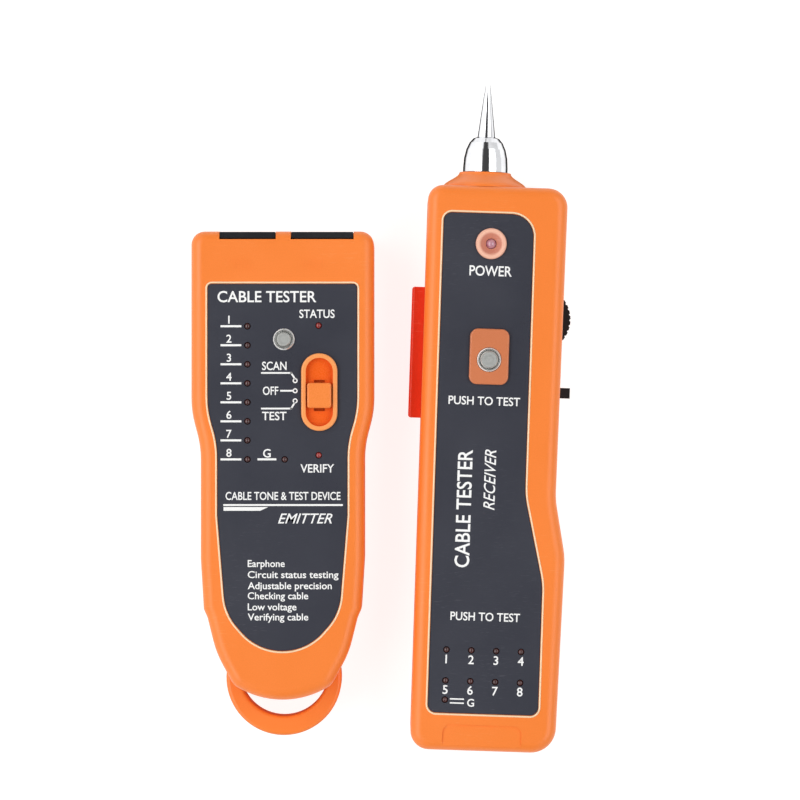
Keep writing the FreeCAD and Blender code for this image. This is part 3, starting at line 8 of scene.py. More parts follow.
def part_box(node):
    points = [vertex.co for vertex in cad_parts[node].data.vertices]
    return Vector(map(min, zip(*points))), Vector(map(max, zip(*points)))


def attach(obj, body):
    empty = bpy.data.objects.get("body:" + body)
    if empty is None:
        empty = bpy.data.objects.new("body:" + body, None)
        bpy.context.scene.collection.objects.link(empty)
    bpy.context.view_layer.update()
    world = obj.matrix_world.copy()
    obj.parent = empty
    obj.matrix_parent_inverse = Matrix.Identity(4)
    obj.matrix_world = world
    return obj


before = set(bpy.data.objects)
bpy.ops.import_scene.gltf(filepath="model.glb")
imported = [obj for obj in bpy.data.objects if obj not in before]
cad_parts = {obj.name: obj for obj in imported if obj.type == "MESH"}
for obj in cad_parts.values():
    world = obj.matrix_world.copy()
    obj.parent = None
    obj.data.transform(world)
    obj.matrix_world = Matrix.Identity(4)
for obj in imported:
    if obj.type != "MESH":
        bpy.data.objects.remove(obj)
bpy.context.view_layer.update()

# ---- The two cases ------------------------------------------------------------------
# Each case is a rear tray, a front lid and a sliding battery door, moulded in orange ABS
# in a spark-finished tool, so every face has a fine even grain with faint flow shading,
# and scattered patches of fine scuffs have gone a little paler.


def place(tree, kind, inputs=None, **settings):
    """Adds a node. Each input takes a value, or another node's output to link from."""
    node = tree.nodes.new(kind)
    for name, value in settings.items():
        setattr(node, name, value)
    for socket, value in (inputs or {}).items():
        if isinstance(value, bpy.types.NodeSocket):
            tree.links.new(value, node.inputs[socket])
        else:
            node.inputs[socket].default_value = value
    return node


def shade_group(name, takes, gives):
    """A shader node group with these named sockets, its input node and its output node."""
    tree = bpy.data.node_groups.new(name, "ShaderNodeTree")
    for socket, (kind, value) in takes.items():
        made = tree.interface.new_socket(socket, in_out="INPUT", socket_type=f"NodeSocket{kind}")
        made.default_value = value
    for socket, kind in gives.items():
        tree.interface.new_socket(socket, in_out="OUTPUT", socket_type=f"NodeSocket{kind}")
    return tree, place(tree, "NodeGroupInput").outputs, place(tree, "NodeGroupOutput").inputs


def remap(tree, value, low, high, to_low=0.0, to_high=1.0):
    """The value's range from low to high, stretched onto another and held at its ends."""
    return place(tree, "ShaderNodeMapRange", {
        "Value": value, "From Min": low, "From Max": high, "To Min": to_low, "To Max": to_high,
    }).outputs["Result"]


def maths(tree, operation, a, b):
    """One Math node on a and b, each a value or another node's output."""
    return place(tree, "ShaderNodeMath", {0: a, 1: b}, operation=operation).outputs[0]


def noise(tree, vector, scale, detail=2.0, roughness=0.5):
    """A cloudy pattern of values from 0 to 1."""
    return place(tree, "ShaderNodeTexNoise", {
        "Vector": vector, "Scale": scale, "Detail": detail, "Roughness": roughness,
    }).outputs["Fac"]


def blend_colours(tree, share, a, b):
    """Colour a where share is 0, and b where it is 1."""
    return place(tree, "ShaderNodeMix", {0: share, 6: a, 7: b}, data_type="RGBA").outputs[2]


# moulded grain: flow shading and a spark-finished surface
moulded_grain, given, wanted = shade_group(
    "moulded_grain",
    {"Colour": ("Color", (1, 1, 1, 1)), "Shade": ("Float", 0.05), "Grain": ("Float", 2600.0),
     "Relief": ("Float", 0.3), "Gloss": ("Float", 0.45)},
    {"Colour": "Color", "Roughness": "Float", "Normal": "Vector"},
)
tree = moulded_grain
speckle_light, speckle_gloss, flow_gloss = 0.05, 0.12, 0.05
grain_depth = 0.00006
where = place(tree, "ShaderNodeTexCoord").outputs["Object"]
flow = noise(tree, where, 32.0, 4.0, 0.55)
grain = noise(tree, where, given["Grain"], 3.0, 0.6)
shading = maths(tree, "MULTIPLY", maths(tree, "SUBTRACT", flow, 0.5), given["Shade"])
speckle = remap(tree, grain, 0.3, 0.7, -0.5, 0.5)
lighter = maths(tree, "ADD", maths(tree, "ADD", shading, 1.0),
                maths(tree, "MULTIPLY", speckle, speckle_light))
tree.links.new(place(tree, "ShaderNodeHueSaturation", {
    "Value": lighter, "Color": given["Colour"],
}).outputs["Color"], wanted["Colour"])
uneven = maths(tree, "ADD", remap(tree, flow, 0.3, 0.7, -flow_gloss, flow_gloss),
               maths(tree, "MULTIPLY", speckle, speckle_gloss))
tree.links.new(maths(tree, "ADD", given["Gloss"], uneven), wanted["Roughness"])
tree.links.new(place(tree, "ShaderNodeBump", {
    "Strength": given["Relief"], "Distance": grain_depth, "Height": grain,
}).outputs["Normal"], wanted["Normal"])

# handling marks: short fine scuffs in two directions, gathered in patches
handling_marks, given, wanted = shade_group(
    "handling_marks",
    {"Scale": ("Float", 240.0), "Amount": ("Float", 0.5)},
    {"Mask": "Float"},
)
tree = handling_marks
where = place(tree, "ShaderNodeTexCoord").outputs["Object"]
patches = remap(tree, noise(tree, where, 26.0, 3.0), 0.5, 0.66)
strokes = []
marks_dull = 0.2
for turn, stretch in ((0.6, 16.0), (-1.1, 22.0)):
    along = place(tree, "ShaderNodeMapping", {
        "Vector": where, "Rotation": (0.2, 0.1, turn), "Scale": (1.0, stretch, 1.0),
    }).outputs["Vector"]
    strokes.append(remap(tree, noise(tree, along, given["Scale"], 2.0), 0.66, 0.74))
marks = maths(tree, "MULTIPLY", maths(tree, "MAXIMUM", *strokes), patches)
tree.links.new(maths(tree, "MULTIPLY", marks, given["Amount"]), wanted["Mask"])


def new_material(name):
    """A material with its node tree and its Principled shader."""
    material = bpy.data.materials.new(name)
    material.use_nodes = True
    tree = material.node_tree
    return material, tree, tree.nodes["Principled BSDF"]


def feed(tree, shader, **sources):
    """Links outputs to the shader's sockets; an underscore in a name stands for a space."""
    for name, source in sources.items():
        tree.links.new(source, shader.inputs[name.replace("_", " ")])


def plastic(name, colour, worn, gloss=0.45, shade=0.08, grain=2600.0, relief=0.3, marks=0.4,
            specular=0.35, recess_painted_shade=None):
    """A moulded plastic with flow shading, grain and scuffs of the worn colour.

    The last argument, where given, is painted shade low in a recess: a deeper colour, the height up to
    which it holds and the height where it ends."""
    material, tree, shader = new_material(name)
    tone = (*colour, 1)
    # Painted shade: the colour turns deeper low down, by height, in place of the shade in a recess.
    if recess_painted_shade:
        deep, low, high = recess_painted_shade
        where = place(tree, "ShaderNodeTexCoord").outputs["Object"]
        level = place(tree, "ShaderNodeSeparateXYZ", {0: where}).outputs["Z"]
        tone = blend_colours(tree, remap(tree, level, low, high), (*deep, 1), tone)
    skin = place(tree, "ShaderNodeGroup", {
        "Colour": tone, "Shade": shade, "Grain": grain, "Relief": relief, "Gloss": gloss,
    }, node_tree=moulded_grain).outputs
    mask = place(tree, "ShaderNodeGroup", {"Amount": marks}, node_tree=handling_marks).outputs["Mask"]
    feed(tree, shader,
         Base_Color=blend_colours(tree, mask, skin["Colour"], (*worn, 1)),
         Roughness=maths(tree, "ADD", skin["Roughness"], maths(tree, "MULTIPLY", mask, marks_dull)),
         Normal=skin["Normal"])
    shader.inputs["Specular IOR Level"].default_value = specular
    return material


def finish_nodes(material, *names):
    """Gives this material to the frame's pieces of these names."""
    for name in names:
        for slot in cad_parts[name].material_slots:
            slot.material = material


case_orange = plastic("case_orange", (0.94, 0.23, 0.035), (0.98, 0.40, 0.14), gloss=0.38,
                      specular=0.42)
finish_nodes(case_orange,
             "emitter_rear_shell", "emitter_front_shell", "emitter_battery_door",
             "receiver_rear_shell", "receiver_front_shell", "receiver_battery_door")

# ---- Raised beads round the labels --------------------------------------------------
# The lid's recess for the printed film has a fine raised bead round it, which keeps the
# film's edge from lifting. Its pale colour is a painted highlight, so it shows as a thin line.

MM = 0.001
bead_wide, bead_tall, bead_gap = 0.55 * MM, 0.5 * MM, 0.2 * MM


def label_edge(node):
    """The outer edge of a label's front, as corner points in order."""
    shape = bmesh.new()
    shape.from_mesh(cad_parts[node].data)
    bmesh.ops.remove_doubles(shape, verts=shape.verts, dist=1e-6)
    top = max(v.co.z for v in shape.verts)
    front = [f for f in shape.faces if all(abs(v.co.z - top) < 1e-6 for v in f.verts)]
    rim = {e for f in front for e in f.edges if sum(g in front for g in e.link_faces) == 1}
    loops = []
    while rim:
        edge = rim.pop()
        loop = [edge.verts[0], edge.verts[1]]
        while loop[-1] is not loop[0]:
            edge = next(e for e in loop[-1].link_edges if e in rim)
            rim.discard(edge)
            loop.append(edge.other_vert(loop[-1]))
        loops.append([v.co.copy() for v in loop[:-1]])
    shape.free()

    def reach(loop):
        return max(p.y for p in loop) - min(p.y for p in loop)

    return max(loops, key=reach)


def area(loop):
    """A flat loop's area, positive where it runs anticlockwise."""
    return sum(a.x * b.y - b.x * a.y for a, b in zip(loop, loop[1:] + loop[:1])) / 2


bead_tree = bpy.data.node_groups.new("label_bead", "GeometryNodeTree")
bead_tree.interface.new_socket("Edge", in_out="INPUT", socket_type="NodeSocketGeometry")
for name in ("Width", "Height", "Clearance"):
    bead_tree.interface.new_socket(name, in_out="INPUT", socket_type="NodeSocketFloat")
bead_tree.interface.new_socket("Finish", in_out="INPUT", socket_type="NodeSocketMaterial")
bead_tree.interface.new_socket("Bead", in_out="OUTPUT", socket_type="NodeSocketGeometry")
given = place(bead_tree, "NodeGroupInput").outputs
path = place(bead_tree, "GeometryNodeMeshToCurve", {"Mesh": given["Edge"]}).outputs[0]
path = place(bead_tree, "GeometryNodeSetCurveNormal", {"Curve": path}, mode="Z_UP").outputs[0]
ring = place(bead_tree, "GeometryNodeCurvePrimitiveCircle", {"Resolution": 12, "Radius": 0.5})
half = maths(bead_tree, "MULTIPLY", given["Width"], 0.5)
middle = maths(bead_tree, "ADD", given["Clearance"], half)
size = place(bead_tree, "ShaderNodeCombineXYZ", {0: given["Width"], 1: given["Height"], 2: 1.0})
shift = place(bead_tree, "ShaderNodeCombineXYZ", {0: middle})
section = place(bead_tree, "GeometryNodeTransform", {
    "Geometry": ring.outputs[0], "Scale": size.outputs[0], "Translation": shift.outputs[0],
}).outputs[0]
bead = place(bead_tree, "GeometryNodeCurveToMesh", {"Curve": path, "Profile Curve": section}).outputs[0]
bead = place(bead_tree, "GeometryNodeSetShadeSmooth", {"Geometry": bead}).outputs[0]
bead = place(bead_tree, "GeometryNodeRealizeInstances", {"Geometry": bead}).outputs[0]
bead = place(bead_tree, "GeometryNodeSetMaterial", {
    "Geometry": bead, "Material": given["Finish"]}).outputs[0]
place(bead_tree, "NodeGroupOutput", {"Bead": bead})


def new_piece(name, mesh):
    """A mesh as an object in the scene."""
    piece = bpy.data.objects.new(name, mesh)
    bpy.context.scene.collection.objects.link(piece)
    return piece


def grown(name, start, tree, settings):
    """What a Geometry Nodes tree makes of a mesh, as a plain piece."""
    piece = new_piece(name, start)
    modifier = piece.modifiers.new("grow", "NODES")
    modifier.node_group = tree
    for socket in tree.interface.items_tree:
        if socket.in_out == "INPUT" and socket.name in settings:
            modifier[socket.identifier] = settings[socket.name]
    made = bpy.data.meshes.new_from_object(
        piece.evaluated_get(bpy.context.evaluated_depsgraph_get()))
    piece.modifiers.clear()
    piece.data = made
    made.name = name
    return piece


# The bead's pale colour is a painted highlight along the recess edge.
bead_painted_highlight = plastic("bead_painted_highlight", (0.98, 0.72, 0.46), (1.0, 0.85, 0.7), gloss=0.3, marks=0.3)
face_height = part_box("emitter_front_shell")[1].z
for device in ("emitter", "receiver"):
    edge = label_edge(f"{device}_face_label")
    if area(edge) < 0:
        edge.reverse()
    line = bpy.data.meshes.new("edge")
    line.from_pydata([(p.x, p.y, face_height) for p in edge],
                     [(i, (i + 1) % len(edge)) for i in range(len(edge))], [])
    piece = grown(f"{device}_label_bead", line, bead_tree, {
        "Width": bead_wide, "Height": bead_tall, "Clearance": bead_gap, "Finish": bead_painted_highlight,
    })
    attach(piece, f"{device}_case")

# ---- Printed face labels ------------------------------------------------------------
# Each label is charcoal polycarbonate film, die cut and stuck into the recess, with its
# words, numbers and lines screen printed in thick white ink that stands a little proud.

film, tree, shader = new_material("label_charcoal")
skin = place(tree, "ShaderNodeGroup", {
    "Colour": (0.036, 0.038, 0.052, 1), "Shade": 0.12, "Grain": 4200.0, "Relief": 0.22,
    "Gloss": 0.36,
}, node_tree=moulded_grain).outputs
mask = place(tree, "ShaderNodeGroup", {
    "Scale": 320.0, "Amount": 0.35}, node_tree=handling_marks).outputs["Mask"]
feed(tree, shader,
     Base_Color=blend_colours(tree, mask, skin["Colour"], (0.16, 0.16, 0.19, 1)),
     Roughness=maths(tree, "ADD", skin["Roughness"], maths(tree, "MULTIPLY", mask, 0.25)),
     Normal=skin["Normal"])
shader.inputs["Specular IOR Level"].default_value = 0.4
finish_nodes(film, "emitter_face_label", "receiver_face_label")

ink, tree, shader = new_material("legend_white")
skin = place(tree, "ShaderNodeGroup", {
    "Colour": (0.93, 0.93, 0.92, 1), "Shade": 0.05, "Grain": 5200.0, "Relief": 0.15, "Gloss": 0.5,
}, node_tree=moulded_grain).outputs
feed(tree, shader, Base_Color=skin["Colour"], Roughness=skin["Roughness"], Normal=skin["Normal"])

emitter_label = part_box("emitter_face_label")


def middle_of(node):
    """The middle of a piece of the frame."""
    low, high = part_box(node)
    return (low + high) / 2


# Each print is set out in millimetres from a zero of its own. The emitter's is 60 below the
# top of its recess. The receiver's is found from its power lamp and its test button, which
# also give the way it leans.
label_gap = 0.15 * MM
recess_top = 60 * MM
emitter_middle = Vector(((emitter_label[0].x + emitter_label[1].x) / 2,
                         emitter_label[1].y + label_gap - recess_top, 0))
power_middle = middle_of("receiver_power_surround")
button_middle = middle_of("receiver_test_button_ring")
power_spot, button_spot = Vector((-0.6, 67.5)) * MM, Vector((-0.1, 33.0)) * MM
across = power_spot - button_spot
found = (power_middle - button_middle).to_2d()
lean = math.atan2(found.y, found.x) - math.atan2(across.y, across.x)
receiver_turn = Matrix.Rotation(lean, 4, "Z")
receiver_middle = power_middle - receiver_turn @ Vector((*power_spot, 0))
receiver_middle.z = 0
emitter_place = Matrix.Translation(emitter_middle)
receiver_place = Matrix.Translation(receiver_middle) @ receiver_turn


def letters(words, italic=0.0, weight=0.0):
    """A word as a mesh one unit thick, at font size 1."""
    curve = bpy.data.curves.new("word", "FONT")
    curve.body = words
    curve.shear = italic
    curve.offset = weight
    curve.extrude = 0.5
    curve.resolution_u = 4
    word = bpy.data.objects.new("word", curve)
    bpy.context.scene.collection.objects.link(word)
    mesh = bpy.data.meshes.new_from_object(
        word.evaluated_get(bpy.context.evaluated_depsgraph_get()))
    bpy.data.objects.remove(word)
    return mesh


def extent(mesh, axis):
    """The least and the greatest value of a mesh along this axis."""
    values = [v.co[axis] for v in mesh.vertices]
    return min(values), max(values)


capital_height = extent(letters("H"), 1)[1]


class Printing:
    """One body's printing: words, bars and dots in millimetres, joined into one mesh."""

    def __init__(self, level, thick):
        self.shape = bmesh.new()
        self.level, self.thick = level, thick

    def word(self, words, x, y, width, capital, italic=0.0, weight=0.012, turn=0.0, start=False):
        """x, y is the middle of the capitals, or their left end where start is set."""
        mesh = letters(words, italic, weight)
        left, right = extent(mesh, 0)
        tall = capital / capital_height
        fit = width / (right - left) if width else tall
        mesh.transform(Matrix.Translation((-left if start else -(left + right) / 2,
                                           -capital_height / 2, 0)))
        mesh.transform(Matrix.Diagonal((fit, tall, self.thick, 1)))
        mesh.transform(Matrix.Translation((x, y, 0)) @ Matrix.Rotation(math.radians(turn), 4, "Z"))
        self.shape.from_mesh(mesh)
        bpy.data.meshes.remove(mesh)

    def patch(self, corners):
        """A flat printed patch with these corners, anticlockwise."""
        half = self.thick / 2
        low = [self.shape.verts.new((x, y, -half)) for x, y in corners]
        high = [self.shape.verts.new((x, y, half)) for x, y in corners]
        self.shape.faces.new(high)
        self.shape.faces.new(low[::-1])
        for i in range(len(corners)):
            j = (i + 1) % len(corners)
            self.shape.faces.new((low[i], low[j], high[j], high[i]))

    def line(self, *points, wide=0.5):
        """A printed line of this width through these points."""
        for (ax, ay), (bx, by) in zip(points, points[1:]):
            long = math.hypot(bx - ax, by - ay)
            dx, dy = (bx - ax) / long * wide / 2, (by - ay) / long * wide / 2
            self.patch([(ax - dx + dy, ay - dy - dx), (bx + dx + dy, by + dy - dx),
                        (bx + dx - dy, by + dy + dx), (ax - dx - dy, ay - dy + dx)])

    def ring(self, x, y, radius, wide):
        """A printed ring."""
        sides = 20
        turns = [2 * math.pi * i / sides for i in range(sides)]
        for a, b in zip(turns, turns[1:] + turns[:1]):
            corners = (radius - wide, a), (radius, a), (radius, b), (radius - wide, b)
            self.patch([(x + r * math.cos(t), y + r * math.sin(t)) for r, t in corners])

    def piece(self, name, place_in, body, material, slot):
        """The finished printing as one piece that rides on a body."""
        mesh = bpy.data.meshes.new(name)
        bmesh.ops.remove_doubles(self.shape, verts=self.shape.verts, dist=1e-5)
        bmesh.ops.transform(self.shape, verts=self.shape.verts, matrix=(
            place_in @ Matrix.Translation((0, 0, self.level)) @ Matrix.Scale(MM, 4)))
        self.shape.to_mesh(mesh)
        self.shape.free()
        mesh.materials.append(material)
        piece = new_piece(name, mesh)
        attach(piece, body)
        return piece


ink_thick, ink_lift = 0.04, 0.012
print_level = emitter_label[1].z + ink_lift * MM
print_on = Printing(print_level, ink_thick)
print_on.word("CABLE TESTER", -4.6, 56.1, 29.4, 3.2)
print_on.word("STATUS", 10.3, 51.0, 10.5, 2.4)
print_on.word("VERIFY", 10.4, 5.0, 10.0, 2.4)
first_bar, lamp_pitch = 47.3, 5.66
for i in range(8):
    bar = first_bar - i * lamp_pitch
    print_on.word(str(i + 1), -15.9, bar + 1.95, None, 2.3)
    print_on.line((-18.1, bar), (-12.5, bar), wide=0.6)
print_on.word("G", -4.6, 9.5, None, 2.4)
print_on.line((-7.1, 7.7), (-2.1, 7.7), wide=0.6)
print_on.word("SCAN", -2.4, 35.5, 7.3, 2.4)
print_on.word("OFF", -3.5, 28.1, 4.6, 2.4)
print_on.word("TEST", -2.4, 20.6, 7.3, 2.4)
print_on.line((-6.1, 33.4), (2.6, 33.4), (3.6, 31.9), wide=0.5)
print_on.line((-0.4, 28.1), (2.8, 28.1), wide=0.5)
print_on.line((-6.1, 22.8), (2.6, 22.8), (3.6, 24.4), wide=0.5)
for y in (31.1, 28.1, 25.1):
    print_on.ring(3.8, y, 0.75, 0.35)
print_on.word("CABLE TONE & TEST DEVICE", 0.2, -3.2, 34.2, 2.3)
print_on.line((-17.3, -5.9), (17.7, -5.9), wide=0.55)
print_on.patch([(-17.5, -7.6), (-6.6, -7.6), (-4.2, -6.5), (-17.5, -6.5)])
print_on.word("EMITTER", 6.8, -9.9, 16.2, 2.9, italic=0.35, weight=0.006)
for words, y, width in (
    ("Earphone", -23.3, 11.0), ("Circuit status testing", -26.6, 27.0),
    ("Adjustable precision", -29.9, 25.0), ("Checking cable", -32.9, 18.0),
    ("Low voltage", -36.2, 14.5), ("Verifying cable", -39.2, 18.0),
):
    print_on.word(words, -10.3, y, width, 2.0, start=True)
print_on.piece("emitter_printing", emitter_place, "emitter_case", ink, "legend_white")

print_on = Printing(print_level, ink_thick)
print_on.word("POWER", -0.5, 59.4, 12.6, 2.9)
print_on.word("PUSH TO TEST", -1.1, 20.7, 21.3, 2.4)
print_on.word("CABLE TESTER", -6.2, -11.5, 35.0, 4.2, turn=90)
print_on.word("RECEIVER", 1.3, -2.7, 18.0, 3.3, italic=0.35, weight=0.004, turn=90)
print_on.word("PUSH TO TEST", 1.3, -43.5, 20.7, 2.4)
first_number, number_pitch = -9.9, 7.4
for i in range(4):
    column = first_number + number_pitch * i
    print_on.word(str(i + 1), column, -56.4, None, 2.5)
    print_on.word(str(i + 5), column, -65.5, None, 2.5)
print_on.word("G", -2.2, -69.2, None, 2.2)
for y in (-68.2, -69.4):
    print_on.line((-8.2, y), (-4.4, y), wide=0.4)
print_on.piece("receiver_printing", receiver_place, "receiver_case", ink, "legend_white")

# Small raised words in the lid itself say which socket is which.
word_relief = 0.16
mould_words = Printing(face_height, word_relief)
mould_words.word("TEL", -11.8, 65.6, 6.6, 2.6, weight=0.0)
mould_words.word("NET", 9.4, 65.6, 6.6, 2.6, weight=0.0)
mould_words.piece("emitter_socket_marks", emitter_place, "emitter_case", case_orange, "case_orange")

# ---- Mode switch and test surround --------------------------------------------------
# The emitter's three-way slide has a capsule frame and a raised grip, the receiver's test
# button a small frame. All are harder, glossier orange mouldings pressed through the lid.

capsule_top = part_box("emitter_mode_surround")[1].z
finish_nodes(plastic("knob_orange", (0.94, 0.26, 0.055), (0.98, 0.45, 0.2), gloss=0.3, shade=0.06,
                     grain=4000.0, relief=0.12, marks=0.45), "emitter_mode_knob")
# Low in the capsule's recess the colour is painted deeper: painted shade.
finish_nodes(plastic("surround_orange", (0.97, 0.36, 0.11), (0.98, 0.5, 0.25), gloss=0.3,
                     shade=0.06, grain=4000.0, relief=0.12, marks=0.4, recess_painted_shade=(
                         (0.86, 0.135, 0.012), capsule_top - 1.3 * MM, capsule_top - 0.3 * MM)),
             "emitter_mode_surround", "emitter_mode_shutter")
finish_nodes(plastic("test_orange", (0.64, 0.20, 0.085), (0.9, 0.42, 0.22), gloss=0.34, shade=0.1,
                     grain=4000.0, relief=0.15, marks=0.4), "receiver_test_surround")

# ---- Black mouldings ----------------------------------------------------------------
# Sockets, switch bodies, thumbwheel, slide knob and battery snaps are glass-filled black
# nylon, with a slightly grey sheen where the fibres reach the surface. Most of them sit on
# the boards, and the shells close round their mouths.

black = plastic("black_plastic", (0.010, 0.010, 0.012), (0.05, 0.05, 0.055), gloss=0.4,
                shade=0.3, grain=3200.0, relief=0.25, marks=0.5, specular=0.25)
finish_nodes(black,
             "emitter_phone_socket", "emitter_network_socket", "emitter_mode_switch",
             "emitter_push_button_switch", "emitter_battery_snap", "receiver_network_socket",
             "receiver_battery_snap", "receiver_side_switch", "receiver_test_button_switch",
             "receiver_thumbwheel", "receiver_potentiometer", "receiver_light_switch",
             "receiver_light_knob", "receiver_earphone_socket", "receiver_loudspeaker")

# ---- Long side button ---------------------------------------------------------------
# A single red moulding that slides in a slot between the shells and rests on its switch.
# The thumb that presses it has left fine scuffs on its outer face.

red = plastic("button_red", (0.74, 0.036, 0.006), (0.92, 0.25, 0.15), gloss=0.34, shade=0.1,
              grain=3000.0, relief=0.2, marks=0.5, specular=0.3)
finish_nodes(red, "receiver_side_button")

# ---- Round buttons ------------------------------------------------------------------
# Turned caps with a satin plating, each in a brighter ring that is pressed into the face.
# The lathe's fine circles still show, and fingers have left the caps a little clouded.


def turned_metal(name, colour, middle, rough, density=260.0, relief=0.25):
    """Plated metal with fine circles about a point in plan."""
    material, tree, shader = new_material(name)
    where = place(tree, "ShaderNodeTexCoord").outputs["Object"]
    centred = place(tree, "ShaderNodeMapping", {
        "Vector": where, "Location": (-middle.x, -middle.y, 0)})
    circles = place(tree, "ShaderNodeTexWave", {
        "Vector": centred.outputs[0], "Scale": density, "Distortion": 0.6, "Detail": 2.0,
        "Detail Scale": 4.0,
    }, wave_type="RINGS", rings_direction="Z").outputs["Fac"]
    smudge = noise(tree, where, 380.0, 3.0)
    feed(tree, shader,
         Base_Color=blend_colours(tree, remap(tree, smudge, 0.35, 0.7), (*colour, 1),
                                  tuple(c * 0.8 for c in colour) + (1,)),
         Roughness=maths(tree, "ADD", remap(tree, smudge, 0.3, 0.7, rough - 0.05, rough + 0.08),
                        maths(tree, "MULTIPLY", circles, 0.05)),
         Normal=place(tree, "ShaderNodeBump", {
             "Strength": relief, "Distance": 0.00002, "Height": circles}).outputs["Normal"])
    shader.inputs["Metallic"].default_value = 1.0
    return material


for button in ("emitter_push_button", "receiver_test_button"):
    middle = middle_of(button)
    finish_nodes(turned_metal(f"{button}_cap", (0.49, 0.50, 0.48), middle, rough=0.42), button)
    finish_nodes(turned_metal(f"{button}_collar", (0.90, 0.90, 0.89), middle, rough=0.22),
                 f"{button}_ring")

# ---- Lamps --------------------------------------------------------------------------
# Unlit epoxy lamps on the boards look out through holes in the label: dark red for the
# numbered wires, brighter red for status and verify. The power lamp's pale lens sits in a
# satin peach-pink dish that is pressed through the lid.


def lens(name, colour, deep, clear=0.25, coat=0.6):
    """Tinted epoxy, clouded towards the deep colour."""
    material, tree, shader = new_material(name)
    where = place(tree, "ShaderNodeTexCoord").outputs["Object"]
    cloud = noise(tree, where, 900.0, 2.0)
    feed(tree, shader,
         Base_Color=blend_colours(tree, remap(tree, cloud, 0.35, 0.65), (*colour, 1), (*deep, 1)),
         Roughness=remap(tree, cloud, 0.3, 0.7, 0.08, 0.16))
    shader.inputs["Transmission Weight"].default_value = clear
    shader.inputs["IOR"].default_value = 1.52
    shader.inputs["Coat Weight"].default_value = coat
    shader.inputs["Coat Roughness"].default_value = 0.08
    return material


finish_nodes(lens("lamp_dark", (0.085, 0.020, 0.018), (0.04, 0.010, 0.010), clear=0.1, coat=0.1),
             "emitter_map_lamps", "receiver_map_lamps")
finish_nodes(lens("lamp_red", (0.42, 0.034, 0.026), (0.22, 0.014, 0.012), clear=0.1, coat=0.25),
             "emitter_signal_lamps")
finish_nodes(lens("lamp_power", (0.78, 0.42, 0.48), (0.55, 0.2, 0.3)), "receiver_power_lamp")
# Low in the power lamp's dish the colour is painted deeper: painted shade.
dish_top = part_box("receiver_power_surround")[1].z
finish_nodes(plastic("lamp_peach", (0.93, 0.52, 0.38), (0.98, 0.7, 0.6), gloss=0.26, shade=0.1,
                     grain=4500.0, relief=0.1, marks=0.3, recess_painted_shade=(
                         (0.64, 0.24, 0.16), dish_top - 0.5 * MM, dish_top - 0.1 * MM)),
             "receiver_power_surround")

# ---- Circuit boards and contacts ----------------------------------------------------
# Green lacquered boards with the copper tracks showing as paler lines, and gold-plated
# spring wires in the sockets.

board, tree, shader = new_material("board_green")
where = place(tree, "ShaderNodeTexCoord").outputs["Object"]
tracks = place(tree, "ShaderNodeTexBrick", {
    "Vector": where, "Scale": 1.0, "Mortar Size": 0.00022, "Brick Width": 0.0074,
    "Row Height": 0.0023, "Color1": (0, 0, 0, 1), "Color2": (0, 0, 0, 1), "Mortar": (1, 1, 1, 1),
}).outputs["Color"]
cloth = noise(tree, where, 3400.0, 2.0)
base = blend_colours(tree, remap(tree, cloth, 0.4, 0.6),
                     (0.012, 0.13, 0.045, 1), (0.018, 0.17, 0.06, 1))
feed(tree, shader,
     Base_Color=blend_colours(tree, tracks, base, (0.06, 0.30, 0.10, 1)),
     Roughness=remap(tree, cloth, 0.3, 0.7, 0.25, 0.38),
     Normal=place(tree, "ShaderNodeBump", {
         "Strength": 0.4, "Distance": 0.00004, "Height": tracks}).outputs["Normal"])
finish_nodes(board, "emitter_circuit_board", "receiver_circuit_board")


def plated(name, colour, dull, rough, scale=700.0):
    """Plated metal, a little duller in patches."""
    material, tree, shader = new_material(name)
    where = place(tree, "ShaderNodeTexCoord").outputs["Object"]
    patch = noise(tree, where, scale, 4.0, 0.6)
    fine = noise(tree, where, scale * 9, 2.0)
    feed(tree, shader,
         Base_Color=blend_colours(tree, remap(tree, patch, 0.4, 0.65), (*colour, 1), (*dull, 1)),
         Roughness=remap(tree, patch, 0.3, 0.7, rough - 0.06, rough + 0.12),
         Normal=place(tree, "ShaderNodeBump", {
             "Strength": 0.12, "Distance": 0.00002, "Height": fine}).outputs["Normal"])
    shader.inputs["Metallic"].default_value = 1.0
    return material


finish_nodes(plated("contact_gold", (0.90, 0.66, 0.28), (0.74, 0.5, 0.2), 0.2),
             "emitter_phone_contacts", "emitter_network_contacts", "receiver_network_contacts")

# ---- Probe --------------------------------------------------------------------------
# Turned brass, polished and chrome plated. It screws through a white insulating bush in
# the nose and is held by a plated washer and nut.

chrome, tree, shader = new_material("probe_chrome")
where = place(tree, "ShaderNodeTexCoord").outputs["Object"]
smear = noise(tree, where, 160.0, 4.0, 0.6)
lathe = noise(tree, place(tree, "ShaderNodeMapping", {
    "Vector": where, "Scale": (0.02, 1.0, 0.02)}).outputs[0], 9000.0, 2.0)
feed(tree, shader,
     Base_Color=blend_colours(tree, remap(tree, smear, 0.45, 0.7),
                              (0.84, 0.85, 0.87, 1), (0.74, 0.74, 0.76, 1)),
     Roughness=remap(tree, smear, 0.35, 0.7, 0.03, 0.12),
     Normal=place(tree, "ShaderNodeBump", {
         "Strength": 0.05, "Distance": 0.00002, "Height": lathe}).outputs["Normal"])
shader.inputs["Metallic"].default_value = 1.0
finish_nodes(chrome, "receiver_probe_tip")
finish_nodes(plastic("bush_white", (0.78, 0.78, 0.75), (0.6, 0.6, 0.56), gloss=0.4), "receiver_probe_bush")

# ---- Screws -------------------------------------------------------------------------
# Zinc-plated steel with crossed recesses, slightly clouded as zinc is. They hold the
# shells together, the boards to their posts, and the thumbwheel and the probe in place.

